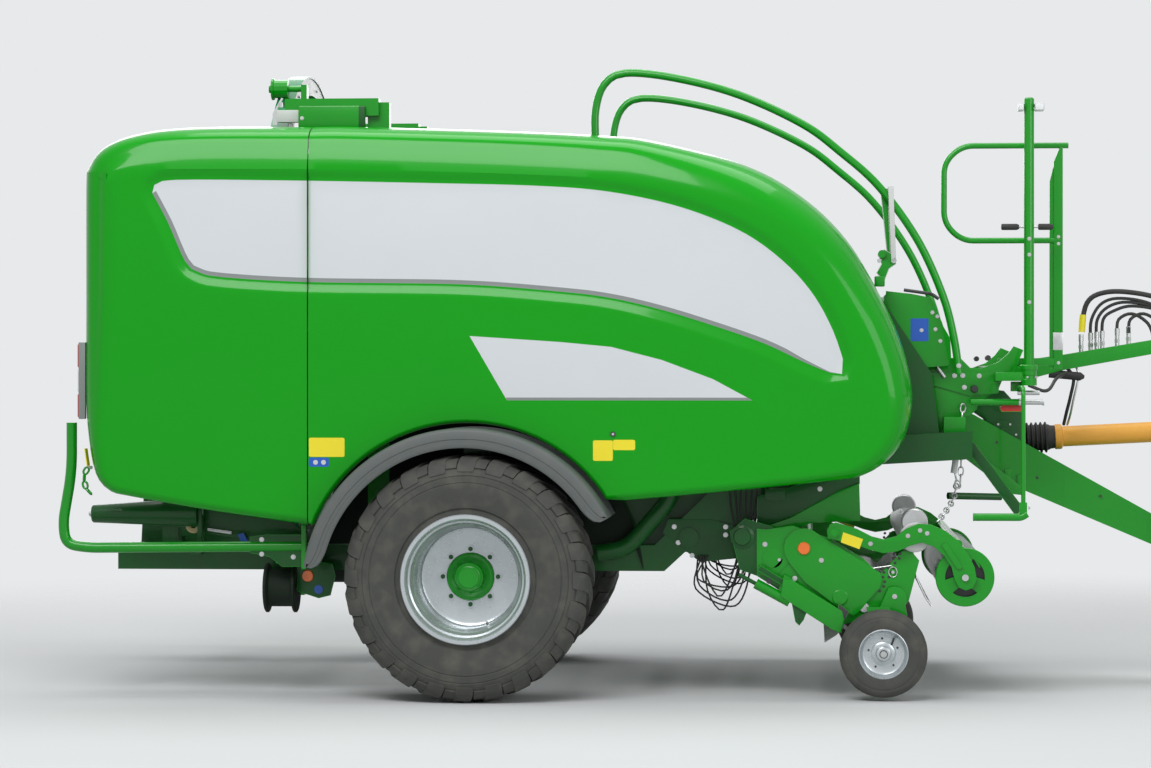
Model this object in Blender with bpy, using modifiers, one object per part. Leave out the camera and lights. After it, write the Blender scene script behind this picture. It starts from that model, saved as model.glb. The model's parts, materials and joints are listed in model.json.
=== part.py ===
"""Trailed round baler with a built-in wrapping ring, as an assembly of separate pieces.

Units are metres. +X is the hitch end, +Y the left side, +Z up, and the wheels stand on Z = 0.
Lengths along the machine are written ahead of the wheel axle and moved by AXLE_X at the end.
"""
import math

import bmesh
import bpy
from mathutils import Matrix, Vector

# ------------------------------------------------------------------ driving sizes
AXLE_X = -1.165            # the axle, seen from the middle of the whole machine
WHEEL_R = 0.61             # loaded tyre radius
TYRE_IN = 0.91             # inner and outer tyre faces, from the centre line
TYRE_OUT = 1.47
RIM_R = 0.305              # rim flange
BODY_Y = 1.30              # outer face of the side panels
SKIN = 0.030               # moulded panel thickness
SEAM_X = -0.805            # joint between the rear panel and the side door
DOOR_GAP = 0.006
ROOF_Z = 2.864
RAIL_IN = 0.7505           # chassis rails
RAIL_OUT = 0.85
RAIL_LOW = 0.62
RAIL_TOP = 0.75
RING_Z = 1.965             # wrapping ring axis height
RING_R = 1.24
RING_BORE = 1.14
RING_X0 = -1.063
RING_X1 = -0.971
ROLL_ORBIT = 1.01          # film rolls, from the ring axis
ROLL_R = 0.11
CHAMBER = (1.10, 1.72)     # bale chamber centre (X, Z)
CHAMBER_R = 0.66           # circle through the chamber roller axes
CHAMBER_ROLL_R = 0.088
CHAMBER_PIVOT = (1.42, 2.42)
DOOR_HINGE_Y = 1.00
DOOR_HINGE_Z = 2.775
TABLE_PIVOT = (-1.75, 1.20)
BALE_R = 0.625
TABLE_ROLL_R = 0.08
TABLE_ROLL_DX = 0.45
PICKUP_PIVOT = (1.348, 0.805)
GUARD_PIVOT = (1.804, 0.831)
CROP_ROLL = (2.453, 0.609)
CROP_ROLL_R = 0.146
REEL = (1.955, 0.455)
GAUGE = (2.048, 0.235)
GAUGE_R = 0.218
MAST_X = 2.788
MAST_Y = -0.75
TOUCH = 0.0003             # gap between pieces that bear on each other

for old in list(bpy.data.objects):
    bpy.data.objects.remove(old, do_unlink=True)

parts = bpy.data.collections.new("bale_wrapper")
bpy.context.scene.collection.children.link(parts)
work = bpy.data.collections.new("cutters")
bpy.context.scene.collection.children.link(work)


# ------------------------------------------------------------------ materials
def material(name, colour, metallic=0.0, roughness=0.5):
    mat = bpy.data.materials.new(name)
    mat.use_nodes = True
    shader = mat.node_tree.nodes["Principled BSDF"]
    shader.inputs["Base Color"].default_value = (*colour, 1.0)
    shader.inputs["Metallic"].default_value = metallic
    shader.inputs["Roughness"].default_value = roughness
    return mat


COLOURS = {
    "green": ((0.010, 0.250, 0.022), 0.0, 0.35),
    "dark_green": ((0.006, 0.110, 0.016), 0.0, 0.45),
    "panel_green": ((0.004, 0.320, 0.014), 0.0, 0.25),
    "rubber": ((0.022, 0.022, 0.022), 0.0, 0.85),
    "silver": ((0.560, 0.570, 0.590), 0.6, 0.40),
    "grey_plastic": ((0.085, 0.090, 0.092), 0.0, 0.60),
    "black": ((0.018, 0.018, 0.018), 0.0, 0.55),
    "steel": ((0.520, 0.530, 0.540), 0.9, 0.35),
    "yellow": ((0.720, 0.330, 0.035), 0.0, 0.50),
    "film": ((0.500, 0.620, 0.480), 0.0, 0.30),
    "lamp": ((0.800, 0.800, 0.800), 0.0, 0.20),
}


# ------------------------------------------------------------------ solid makers
def from_bmesh(bm, name):
    """A mesh object from a bmesh, with its faces turned outward."""
    bmesh.ops.remove_doubles(bm, verts=bm.verts, dist=0.00002)
    bmesh.ops.recalc_face_normals(bm, faces=bm.faces)
    mesh = bpy.data.meshes.new(name)
    bm.to_mesh(mesh)
    bm.free()
    obj = bpy.data.objects.new(name, mesh)
    work.objects.link(obj)
    return obj


def box(lo, hi):
    bm = bmesh.new()
    bmesh.ops.create_cube(bm, size=1.0)
    size = [abs(b - a) for a, b in zip(lo, hi)]
    mid = [(a + b) / 2 for a, b in zip(lo, hi)]
    bmesh.ops.scale(bm, vec=size, verts=bm.verts)
    bmesh.ops.translate(bm, vec=mid, verts=bm.verts)
    return from_bmesh(bm, "box")


def facets(radius):
    """How many flats a bar of this radius gets."""
    for limit, sides in ((0.020, 8), (0.045, 10), (0.080, 14)):
        if radius < limit:
            return sides
    return 20


def cylinder(start, end, radius, radius_end=None):
    """A round bar or a cone from one point to another."""
    sides = facets(radius)
    a = Vector(start)
    b = Vector(end)
    run = b - a
    bm = bmesh.new()
    bmesh.ops.create_cone(
        bm, cap_ends=True, segments=sides, radius1=radius,
        radius2=radius if radius_end is None else radius_end, depth=run.length)
    turn = Vector((0, 0, 1)).rotation_difference(run.normalized()).to_matrix().to_4x4()
    bmesh.ops.transform(bm, matrix=Matrix.Translation((a + b) / 2) @ turn, verts=bm.verts)
    return from_bmesh(bm, "bar")


def settled(holder, name, flat=False):
    """A curve or a screwed profile as a plain mesh object, with its seams welded."""
    bpy.context.view_layer.update()
    graph = bpy.context.evaluated_depsgraph_get()
    mesh = bpy.data.meshes.new_from_object(holder.evaluated_get(graph))
    placed = holder.matrix_world.copy()
    bpy.data.objects.remove(holder, do_unlink=True)
    bm = bmesh.new()
    bm.from_mesh(mesh)
    bm.transform(placed)
    bmesh.ops.remove_doubles(bm, verts=bm.verts, dist=0.00002)
    rims = [e for e in bm.edges if e.is_boundary]
    if rims:
        bmesh.ops.holes_fill(bm, edges=rims)
    if flat:
        bmesh.ops.dissolve_limit(bm, angle_limit=math.radians(0.5), verts=bm.verts,
                                 edges=bm.edges)
    return from_bmesh(bm, name)


def plate(outline, low, high, rotation, middle):
    """A flat outline given thickness by a filled curve's extrude."""
    curve = bpy.data.curves.new("outline", "CURVE")
    curve.dimensions = "2D"
    curve.fill_mode = "BOTH"
    curve.extrude = (high - low) / 2
    spline = curve.splines.new("POLY")
    spline.points.add(len(outline) - 1)
    for point, (u, v) in zip(spline.points, outline):
        point.co = (u, v, 0.0, 1.0)
    spline.use_cyclic_u = True
    holder = bpy.data.objects.new("outline", curve)
    work.objects.link(holder)
    holder.rotation_euler = rotation
    holder.location = middle
    return settled(holder, "plate", flat=True)


def prism(outline, y0, y1):
    """A flat plate: an outline in X and Z, between two Y faces."""
    return plate(outline, y0, y1, (math.pi / 2, 0.0, 0.0), (0.0, (y0 + y1) / 2, 0.0))


def prism_x(outline, x0, x1):
    """A plate across the machine: an outline in Y and Z, between two X faces."""
    return plate(outline, x0, x1, (math.pi / 2, 0.0, math.pi / 2), ((x0 + x1) / 2, 0.0, 0.0))


def prism_z(outline, z0, z1):
    """A level plate: an outline in X and Y, between two heights."""
    return plate(outline, z0, z1, (0.0, 0.0, 0.0), (0.0, 0.0, (z0 + z1) / 2))


def lathe(profile, centre, axis, sides=48, start=0.0, sweep=360.0):
    """A closed section of (radius, along) points screwed round an axis, in degrees from +Z."""
    ring = list(profile)
    lean = sum(a[0] * b[1] - b[0] * a[1] for a, b in zip(ring, ring[1:] + ring[:1]))
    if lean > 0:
        ring.reverse()
    mesh = bpy.data.meshes.new("profile")
    bm = bmesh.new()
    points = [bm.verts.new((r, 0.0, t)) for r, t in ring]
    for i in range(len(points)):
        bm.edges.new((points[i], points[(i + 1) % len(points)]))
    bm.to_mesh(mesh)
    bm.free()
    holder = bpy.data.objects.new("profile", mesh)
    work.objects.link(holder)
    screw = holder.modifiers.new("Screw", "SCREW")
    screw.axis = "Z"
    screw.angle = math.radians(sweep)
    screw.steps = sides
    screw.render_steps = sides
    screw.use_merge_vertices = sweep == 360.0
    screw.merge_threshold = 0.00005
    along = Vector(axis).normalized()
    up = Vector((0, 0, 1))
    side = along.cross(up).normalized()
    up = side.cross(along)
    frame = Matrix((up, side, along)).transposed()
    turn = frame @ Matrix.Rotation(math.radians(start), 3, "Z")
    holder.matrix_world = Matrix.Translation(Vector(centre)) @ turn.to_4x4()
    return settled(holder, "turned")


def arc(centre, radius, start, stop, count):
    """Points on an arc, in degrees from the first axis toward the second."""
    out = []
    for k in range(count):
        angle = math.radians(start + (stop - start) * k / (count - 1))
        out.append((centre[0] + radius * math.cos(angle), centre[1] + radius * math.sin(angle)))
    return out


def rounded(points, radius, steps=4):
    """A path with its corners turned into short arcs."""
    path = [Vector(p) for p in points]
    out = [path[0]]
    for k in range(1, len(path) - 1):
        a = path[k - 1] - path[k]
        b = path[k + 1] - path[k]
        reach = min(radius, a.length * 0.45, b.length * 0.45)
        first = path[k] + a.normalized() * reach
        last = path[k] + b.normalized() * reach
        for s in range(steps + 1):
            t = s / steps
            out.append(first * (1 - t) ** 2 + path[k] * (2 * t * (1 - t)) + last * t ** 2)
    out.append(path[-1])
    return out


def tube(points, radius, corner=0.0, sides=1):
    """A bent round bar along a path."""
    path = rounded(points, corner) if corner else [Vector(p) for p in points]
    curve = bpy.data.curves.new("path", "CURVE")
    curve.dimensions = "3D"
    curve.bevel_depth = radius
    curve.bevel_resolution = sides
    curve.use_fill_caps = True
    spline = curve.splines.new("POLY")
    spline.points.add(len(path) - 1)
    for point, here in zip(spline.points, path):
        point.co = (*here, 1.0)
    holder = bpy.data.objects.new("path", curve)
    work.objects.link(holder)
    return settled(holder, "tube")


def bake(obj):
    """Turn an object's modifiers into plain mesh."""
    bpy.context.view_layer.update()
    graph = bpy.context.evaluated_depsgraph_get()
    mesh = bpy.data.meshes.new_from_object(obj.evaluated_get(graph))
    obj.modifiers.clear()
    bm = bmesh.new()
    bm.from_mesh(mesh)
    bmesh.ops.remove_doubles(bm, verts=bm.verts, dist=0.000002)
    bmesh.ops.recalc_face_normals(bm, faces=bm.faces)
    bm.to_mesh(mesh)
    bm.free()
    obj.data = mesh
    return obj


def combine(base, others, operation):
    for other in others:
        other.hide_render = True
        other.display_type = "WIRE"
        step = base.modifiers.new("Boolean", "BOOLEAN")
        step.operation = operation
        step.solver = "EXACT"
        step.object = other
    bake(base)
    for other in others:
        bpy.data.objects.remove(other, do_unlink=True)
    return base


def fuse(*pieces):
    """Weld overlapping solids into one."""
    return combine(pieces[0], pieces[1:], "UNION")


def cut(base, *tools):
    return combine(base, tools, "DIFFERENCE")


MATERIALS = {}


def finish(obj, name, colour, origin=(0.0, 0.0, 0.0)):
    """Name a piece, give it its own material and set its origin on its joint axis."""
    obj.name = name
    obj.data.name = name
    shade, metallic, roughness = COLOURS[colour]
    obj.data.materials.clear()
    obj.data.materials.append(material(name + "_" + colour, shade, metallic, roughness))
    obj.data.shade_smooth()
    obj.data.set_sharp_from_angle(angle=math.radians(30))
    obj.data.transform(Matrix.Translation(-Vector(origin)))
    obj.location = Vector(origin) + Vector((AXLE_X, 0.0, 0.0))
    work.objects.unlink(obj)
    parts.objects.link(obj)
    return obj


def sided(side, low, high):
    """The two Y faces of something on one side of the machine."""
    return sorted((side * low, side * high))


# ------------------------------------------------------------------ moulded side panels
def smooth(points, step):
    """A smooth curve through a few key points (Catmull-Rom)."""
    keys = [Vector(p) for p in points]
    out = []
    for k in range(len(keys) - 1):
        a = keys[max(k - 1, 0)]
        b = keys[k]
        c = keys[k + 1]
        d = keys[min(k + 2, len(keys) - 1)]
        pieces = max(1, round((c - b).to_2d().length / step))
        for s in range(pieces):
            t = s / pieces
            out.append(0.5 * (2 * b + (c - a) * t + (2 * a - 5 * b + 4 * c - d) * t * t
                              + (3 * b - a - 3 * c + d) * t ** 3))
    out.append(keys[-1])
    return out


def shell(rim, side, steps=3):
    """A moulded panel whose border rolls inward, open along its straight seam.

    Each rim point is (x, z, inset, depth): how wide the rolled border is there and how far
    its edge stands inboard of the flat face. The first and last points lie on the seam.
    """
    count = len(rim)
    flat = [Vector((p[0], p[1])) for p in rim]
    inward = []
    for i in range(count):
        run = flat[min(i + 1, count - 1)] - flat[max(i - 1, 0)]
        inward.append(Vector((run.y, -run.x)).normalized())
    middle = sum(flat, Vector((0.0, 0.0))) / count
    top = max(range(count), key=lambda i: flat[i].y)
    if inward[top].dot(middle - flat[top]) < 0:
        inward = [-n for n in inward]
    inward[0] = Vector((0.0, math.copysign(1.0, inward[0].y)))
    inward[-1] = Vector((0.0, math.copysign(1.0, inward[-1].y)))
    bm = bmesh.new()
    outer = []
    inner = []
    for k in range(steps + 1):
        phi = math.radians(90 * k / steps)
        out_loop = []
        in_loop = []
        for i in range(count):
            wide, deep = rim[i][2], rim[i][3]
            inset = wide * (1 - math.cos(phi))
            depth = deep * (1 - math.sin(phi))
            lean = Vector((math.cos(phi) / wide, math.sin(phi) / deep)).normalized()
            for loop, back in ((out_loop, 0.0), (in_loop, SKIN)):
                spot = flat[i] + inward[i] * (inset + back * lean.x)
                y = side * (BODY_Y - depth - back * lean.y)
                loop.append(bm.verts.new((spot.x, y, spot.y)))
        outer.append(out_loop)
        inner.append(in_loop)
    for loops in (outer, inner):
        for k in range(steps):
            for i in range(count - 1):
                bm.faces.new((loops[k][i], loops[k][i + 1], loops[k + 1][i + 1], loops[k + 1][i]))
        bm.faces.new(loops[steps])
    for i in range(count - 1):
        bm.faces.new((outer[0][i], outer[0][i + 1], inner[0][i + 1], inner[0][i]))
    seam = [loop[0] for loop in outer] + [loop[-1] for loop in reversed(outer)]
    seam += [loop[-1] for loop in inner] + [loop[0] for loop in reversed(inner)]
    bm.faces.new(seam)
    return from_bmesh(bm, "panel")


# rim keys: x, z, width of the rolled border, how far its edge stands inboard
REAR_RIM = [
    (SEAM_X, ROOF_Z, 0.20, 0.30), (-1.28, 2.866, 0.20, 0.30), (-1.52, 2.857, 0.19, 0.29),
    (-1.66, 2.837, 0.17, 0.27), (-1.777, 2.804, 0.15, 0.24), (-1.863, 2.756, 0.13, 0.22),
    (-1.912, 2.700, 0.12, 0.20), (-1.941, 2.64, 0.11, 0.18), (-1.947, 2.56, 0.10, 0.17),
    (-1.946, 2.0, 0.10, 0.16), (-1.942, 1.49, 0.10, 0.14), (-1.924, 1.295, 0.09, 0.12),
    (-1.899, 1.165, 0.08, 0.10), (-1.865, 1.085, 0.06, 0.08), (-1.80, 1.03, 0.05, 0.06),
    (-1.699, 1.007, 0.045, 0.05), (-1.301, 0.939, 0.045, 0.05), (SEAM_X, 0.869, 0.045, 0.05),
]
DOOR_RIM = [
    (SEAM_X, ROOF_Z, 0.20, 0.30), (-0.588, 2.863, 0.20, 0.30), (0.132, 2.839, 0.20, 0.30),
    (0.631, 2.813, 0.20, 0.30), (0.894, 2.785, 0.20, 0.30), (1.36, 2.661, 0.20, 0.29),
    (1.646, 2.501, 0.20, 0.28), (1.871, 2.281, 0.19, 0.27), (2.047, 1.981, 0.17, 0.25),
    (2.135, 1.78, 0.16, 0.24), (2.180, 1.61, 0.15, 0.22), (2.190, 1.46, 0.14, 0.20),
    (2.150, 1.30, 0.12, 0.16), (2.066, 1.192, 0.09, 0.12), (1.948, 1.120, 0.07, 0.09),
    (1.808, 1.094, 0.05, 0.07), (1.30, 1.042, 0.045, 0.05), (0.78, 0.993, 0.045, 0.05),
]
ARCH = (-0.012, 0.55)
ARCH_R = 0.825


def smooth4(keys, step):
    """Catmull-Rom through keys that also carry the border sizes."""
    flat = smooth([(k[0], k[1]) for k in keys], step)
    border = smooth([(k[0], k[1], k[2], k[3]) for k in keys], step)
    return [(f.x, f.y, b[2], b[3]) for f, b in zip(flat, border)]


def rear_rim():
    return smooth4(REAR_RIM, 0.28)


def build_panels(side, word):
    rear = shell(rear_rim(), side)
    finish(rear, "rear_panel_" + word, "panel_green")
    keys = [(x + (DOOR_GAP if i == 0 else 0.0), z, w, d)
            for i, (x, z, w, d) in enumerate(DOOR_RIM)]
    rim = smooth4(keys, 0.28)
    rim += [(x, z, 0.022, 0.035) for x, z in arc(ARCH, ARCH_R, 33, 157.5, 12)]
    rim.append((SEAM_X + DOOR_GAP, 0.873, 0.022, 0.035))
    door = shell(rim, side)
    hinges = []
    pins = []
    for x in (-0.455, 0.315):
        y0, y1 = sided(side, 0.982, 1.06)
        hinges.append(box((x - 0.03, y0, 2.755), (x + 0.03, y1, 2.842)))
        pins.append(cylinder((x - 0.05, side * DOOR_HINGE_Y, DOOR_HINGE_Z),
                             (x + 0.05, side * DOOR_HINGE_Y, DOOR_HINGE_Z), 0.0109))
    door = cut(fuse(door, *hinges), *pins)
    origin = (0.0, side * DOOR_HINGE_Y, DOOR_HINGE_Z)
    finish(door, "side_door_" + word, "panel_green", origin)


# ------------------------------------------------------------------ wheels
def build_wheel(side, word):
    centre = (0.0, side * 1.19, WHEEL_R)
    axis = (0.0, side, 0.0)
    half = (TYRE_OUT - TYRE_IN) / 2
    hub = (0.0, 0.0, WHEEL_R)
    bead = half - 0.0212
    section = [
        (0.300, bead), (0.450, half), (0.560, half - 0.020), (WHEEL_R, half - 0.120),
        (WHEEL_R, 0.120 - half), (0.560, 0.020 - half), (0.450, -half), (0.300, -bead),
        (0.300, 0.040 - bead), (0.540, 0.07 - half), (0.560, 0.16 - half), (0.560, half - 0.16),
        (0.540, half - 0.07), (0.300, bead - 0.040),
    ]
    tyre = lathe(section, centre, axis, 30)
    finish(tyre, "tyre_" + word, "rubber", hub)
    lip = half - 0.005
    barrel = [
        (RIM_R + 0.012, lip), (0.2995, lip - 0.016), (0.2995, lip - 0.060), (0.270, lip - 0.110),
        (0.270, 0.110 - lip), (0.2995, 0.060 - lip), (0.2995, 0.016 - lip), (RIM_R + 0.012, -lip),
        (0.292, -lip), (0.258, -0.035), (0.120, -0.012), (0.120, 0.002), (0.258, 0.030),
        (0.258, lip - 0.118), (0.292, lip),
    ]
    rim = lathe(barrel, centre, axis, 30)
    finish(rim, "rim_" + word, "silver", hub)
    far = 1.19
    outer = [
        (0.0425, -0.125), (0.119, -0.125), (0.119, -0.100), (0.095, -0.090), (0.095, -0.018),
        (0.1188, -0.018), (0.1188, 0.018), (0.072, 0.024), (0.072, 0.088), (0.060, 0.100),
        (0.0425, 0.100),
    ]
    turned = lathe(outer, (0.0, side * far, WHEEL_R), axis, 14)
    cap = cylinder((0.0, side * (far + 0.060), WHEEL_R), (0.0, side * (far + 0.097), WHEEL_R), 0.05)
    finish(fuse(turned, cap), "hub_" + word, "green", hub)


def build_axle():
    beam = box((-0.06, -1.04, WHEEL_R - 0.07), (0.06, 1.04, WHEEL_R + 0.07))
    plates = []
    for side in (-1, 1):
        plates.append(cylinder((0, side * 1.03, WHEEL_R), (0, side * 1.055, WHEEL_R), 0.09))
        plates.append(cylinder((0, side * 1.04, WHEEL_R), (0, side * 1.2497, WHEEL_R), 0.036))
    cuts = []
    for side in (-1, 1):
        y0, y1 = sided(side, RAIL_IN - TOUCH, RAIL_OUT + TOUCH)
        cuts.append(box((-0.2, y0, RAIL_LOW - TOUCH), (0.2, y1, RAIL_TOP + TOUCH)))
    finish(cut(fuse(beam, *plates), *cuts), "axle_beam", "dark_green")


# ------------------------------------------------------------------ chassis
RAIL = [
    (-1.85, RAIL_LOW), (0.95, RAIL_LOW), (1.50, 1.13), (2.50, 1.19), (2.50, 1.33),
    (1.43, 1.27), (0.90, RAIL_TOP), (-1.85, RAIL_TOP),
]


def build_chassis():
    pieces = []
    for side in (-1, 1):
        y0, y1 = sided(side, RAIL_IN, RAIL_OUT)
        pieces.append(prism(RAIL, y0, y1))
        lo, hi = sided(side, 0.79, 0.862)
        pieces.append(box((-0.07, lo, 0.70), (0.07, hi, 1.335)))
        lo, hi = sided(side, 0.36, 0.43)
        pieces.append(prism([(-1.82, 0.66), (-1.66, 0.66), (-1.71, 1.25), (-1.79, 1.25)], lo, hi))
        pieces.append(box((-1.62, y0, RAIL_TOP - 0.03), (-1.54, y1, 1.19)))
        lo, hi = sided(side, RAIL_IN + 0.01, BODY_Y - SKIN - TOUCH)
        pieces.append(box((-1.61, lo, 1.10), (-1.55, hi, 1.18)))
        pieces.append(cylinder((TABLE_PIVOT[0], side * 0.3103, TABLE_PIVOT[1]),
                               (TABLE_PIVOT[0], side * 0.40, TABLE_PIVOT[1]), 0.040))
        lo, hi = sided(side, 0.42, 0.62)
        pieces.append(prism_x([(side * 0.40, 0.64), (side * 0.66, 0.64), (side * 0.60, 0.792),
                               (side * 0.42, 0.732)], -1.07, -0.96))
    pieces.append(box((-1.84, -0.80, 0.64), (-1.74, 0.80, 0.73)))
    pieces.append(box((-1.08, -0.80, 0.56), (-0.95, 0.80, 0.695)))
    pieces.append(box((0.62, -0.80, 0.63), (0.74, 0.80, 0.74)))
    for side in (-1, 1):
        lo, hi = sided(side, 0.78, 0.84)
        pieces.append(prism([(1.02, 0.72), (1.28, 0.70), (1.42, 0.70), (1.44, 1.10), (1.20, 1.00)],
                            lo, hi))
        pieces.append(cylinder((PICKUP_PIVOT[0], side * 0.80, PICKUP_PIVOT[1]),
                               (PICKUP_PIVOT[0], side * 0.8447, PICKUP_PIVOT[1]), 0.045))
        pieces.append(cylinder((PICKUP_PIVOT[0], side * 0.81, PICKUP_PIVOT[1]),
                               (PICKUP_PIVOT[0], side * 0.875, PICKUP_PIVOT[1]), 0.024))
    pieces.append(box((2.36, -0.80, 1.20), (2.47, 0.80, 1.32)))
    pieces.append(cylinder((TABLE_PIVOT[0], -0.445, TABLE_PIVOT[1]),
                           (TABLE_PIVOT[0], 0.445, TABLE_PIVOT[1]), 0.024))
    finish(fuse(*pieces), "main_frame", "dark_green")


def build_ring_frame():
    pieces = []
    for side in (-1, 1):
        lo, hi = sided(side, 0.79, 0.861)
        pieces.append(box((-0.56, lo, RAIL_TOP + TOUCH), (-0.45, hi, 3.0)))
        lo, hi = sided(side, 0.80, 0.90)
        pieces.append(box((-0.98, lo, 2.93), (-0.50, hi, 3.018)))
        lo, hi = sided(side, 0.60, 0.86)
        pieces.append(box((-0.93, lo, 2.945), (-0.87, hi, 3.000)))
        lo, hi = sided(side, 0.85, 1.01)
        pieces.append(box((-0.55, lo, 2.732), (-0.50, hi, 2.770)))
        pieces.append(cylinder((-0.55, side * DOOR_HINGE_Y, DOOR_HINGE_Z),
                               (-0.50, side * DOOR_HINGE_Y, DOOR_HINGE_Z), 0.018))
        pieces.append(cylinder((-0.52, side * DOOR_HINGE_Y, DOOR_HINGE_Z),
                               (-0.42, side * DOOR_HINGE_Y, DOOR_HINGE_Z), 0.010))
        for low in (1.27, 2.44):
            lo, hi = sided(side, 0.85, 1.262)
            pieces.append(box((-0.555, lo, low), (-0.505, hi, low + 0.05)))
            lo, hi = sided(side, 1.222, 1.260)
            pieces.append(box((-0.86, lo, low + 0.005), (-0.51, hi, low + 0.045)))
        lo, hi = sided(side, 1.225, BODY_Y - SKIN - TOUCH)
        pieces.append(box((-0.865, lo, 1.20), (-0.825, hi, 2.52)))
        y = side * 0.625
        z = RING_Z + math.sqrt((RING_R + 0.0477) ** 2 - 0.625 ** 2)
        pieces.append(lathe([(0.006, -0.06), (0.02, -0.06), (0.02, -0.045), (0.057, -0.045),
                             (0.057, -0.034), (0.047, -0.030), (0.047, 0.040), (0.016, 0.040),
                             (0.016, 0.132), (0.006, 0.132)],
                            (-1.045, y, z), (1, 0, 0), 14))
        pieces.append(box((-0.935, y - 0.03, 2.96), (-0.905, y + 0.03, z + 0.02)))
    pieces.append(box((-0.55, -0.84, 2.76), (-0.46, 0.84, 2.85)))
    pieces.append(box((-0.54, -0.84, 1.10), (-0.46, 0.84, 1.195)))
    pieces.append(box((-0.53, -0.84, 2.60), (-0.47, 0.84, 2.66)))
    finish(fuse(*pieces), "ring_frame", "green")


# ------------------------------------------------------------------ bale chamber
def sector(centre, inner, outer, start, stop, count):
    """A curved plate outline."""
    return arc(centre, outer, start, stop, count) + arc(centre, inner, stop, start, count)


def chamber_rollers(angles, half):
    bars = []
    for angle in angles:
        turn = math.radians(angle)
        x = CHAMBER[0] + CHAMBER_R * math.cos(turn)
        z = CHAMBER[1] + CHAMBER_R * math.sin(turn)
        bars.append(cylinder((x, -half, z), (x, half, z), CHAMBER_ROLL_R))
    return bars


def build_chamber():
    wall = [
        (0.28, 0.7403), (0.89, 0.7403), (1.47, 1.25), (2.34, 1.30), (2.30, 1.62), (1.98, 2.10),
        (1.60, 2.48), (1.00, 2.72), (0.52, 2.79), (0.30, 2.70), (0.22, 2.0),
    ]
    for side, word in ((-1, "right"), (1, "left")):
        lo, hi = sided(side, 0.725, RAIL_IN - TOUCH)
        plate = prism(wall, lo, hi)
        beam_lo, beam_hi = sided(side, 0.735, 0.80)
        beam = prism([(-0.4495, 2.70), (0.90, 2.66), (0.90, 2.72), (-0.4495, 2.76)],
                     beam_lo, beam_hi)
        lo, hi = sided(side, 0.76, 0.975)
        arm = box((0.18, lo, 2.69), (0.42, hi, 2.735))
        lo, hi = sided(side, 0.93, 1.01)
        post = box((0.36, lo, 2.70), (0.42, hi, 2.77))
        bore_pin = cylinder((CHAMBER_PIVOT[0], side * 0.66, CHAMBER_PIVOT[1]),
                            (CHAMBER_PIVOT[0], side * 0.74, CHAMBER_PIVOT[1]), 0.024)
        boss = cylinder((CHAMBER_PIVOT[0], side * 0.6883, CHAMBER_PIVOT[1]),
                        (CHAMBER_PIVOT[0], side * 0.735, CHAMBER_PIVOT[1]), 0.045)
        knuckle = cylinder((0.36, side * DOOR_HINGE_Y, DOOR_HINGE_Z),
                           (0.42, side * DOOR_HINGE_Y, DOOR_HINGE_Z), 0.018)
        pin = cylinder((0.28, side * DOOR_HINGE_Y, DOOR_HINGE_Z),
                       (0.40, side * DOOR_HINGE_Y, DOOR_HINGE_Z), 0.010)
        finish(fuse(plate, beam, arm, post, bore_pin, boss, knuckle, pin),
               "chamber_wall_" + word, "dark_green")
    low = [prism(sector(CHAMBER, 0.56, 0.755, -122, 56, 22), *sided(side, 0.695, 0.7247))
           for side in (-1, 1)]
    rollers = chamber_rollers((-116, -94, -72, -18, 4, 26, 48), 0.71)
    finish(fuse(*low, *rollers), "chamber_lower", "green")
    high = []
    for side in (-1, 1):
        lo, hi = sided(side, 0.665, 0.688)
        plate = prism(sector(CHAMBER, 0.56, 0.755, 74, 222, 20), lo, hi)
        lug = prism([(1.22, 2.30), (1.42, 2.365), (1.465, 2.39), (1.475, 2.42), (1.465, 2.45),
                     (1.42, 2.475), (1.20, 2.47)], lo, hi)
        eye = cylinder((CHAMBER_PIVOT[0], lo - 0.02, CHAMBER_PIVOT[1]),
                       (CHAMBER_PIVOT[0], hi + 0.02, CHAMBER_PIVOT[1]), 0.026)
        high.append(cut(fuse(plate, lug), eye))
    rollers = chamber_rollers((82, 104, 126, 148, 170, 192, 214), 0.675)
    origin = (CHAMBER_PIVOT[0], 0.0, CHAMBER_PIVOT[1])
    finish(fuse(*high, *rollers), "chamber_upper", "green", origin)


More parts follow.
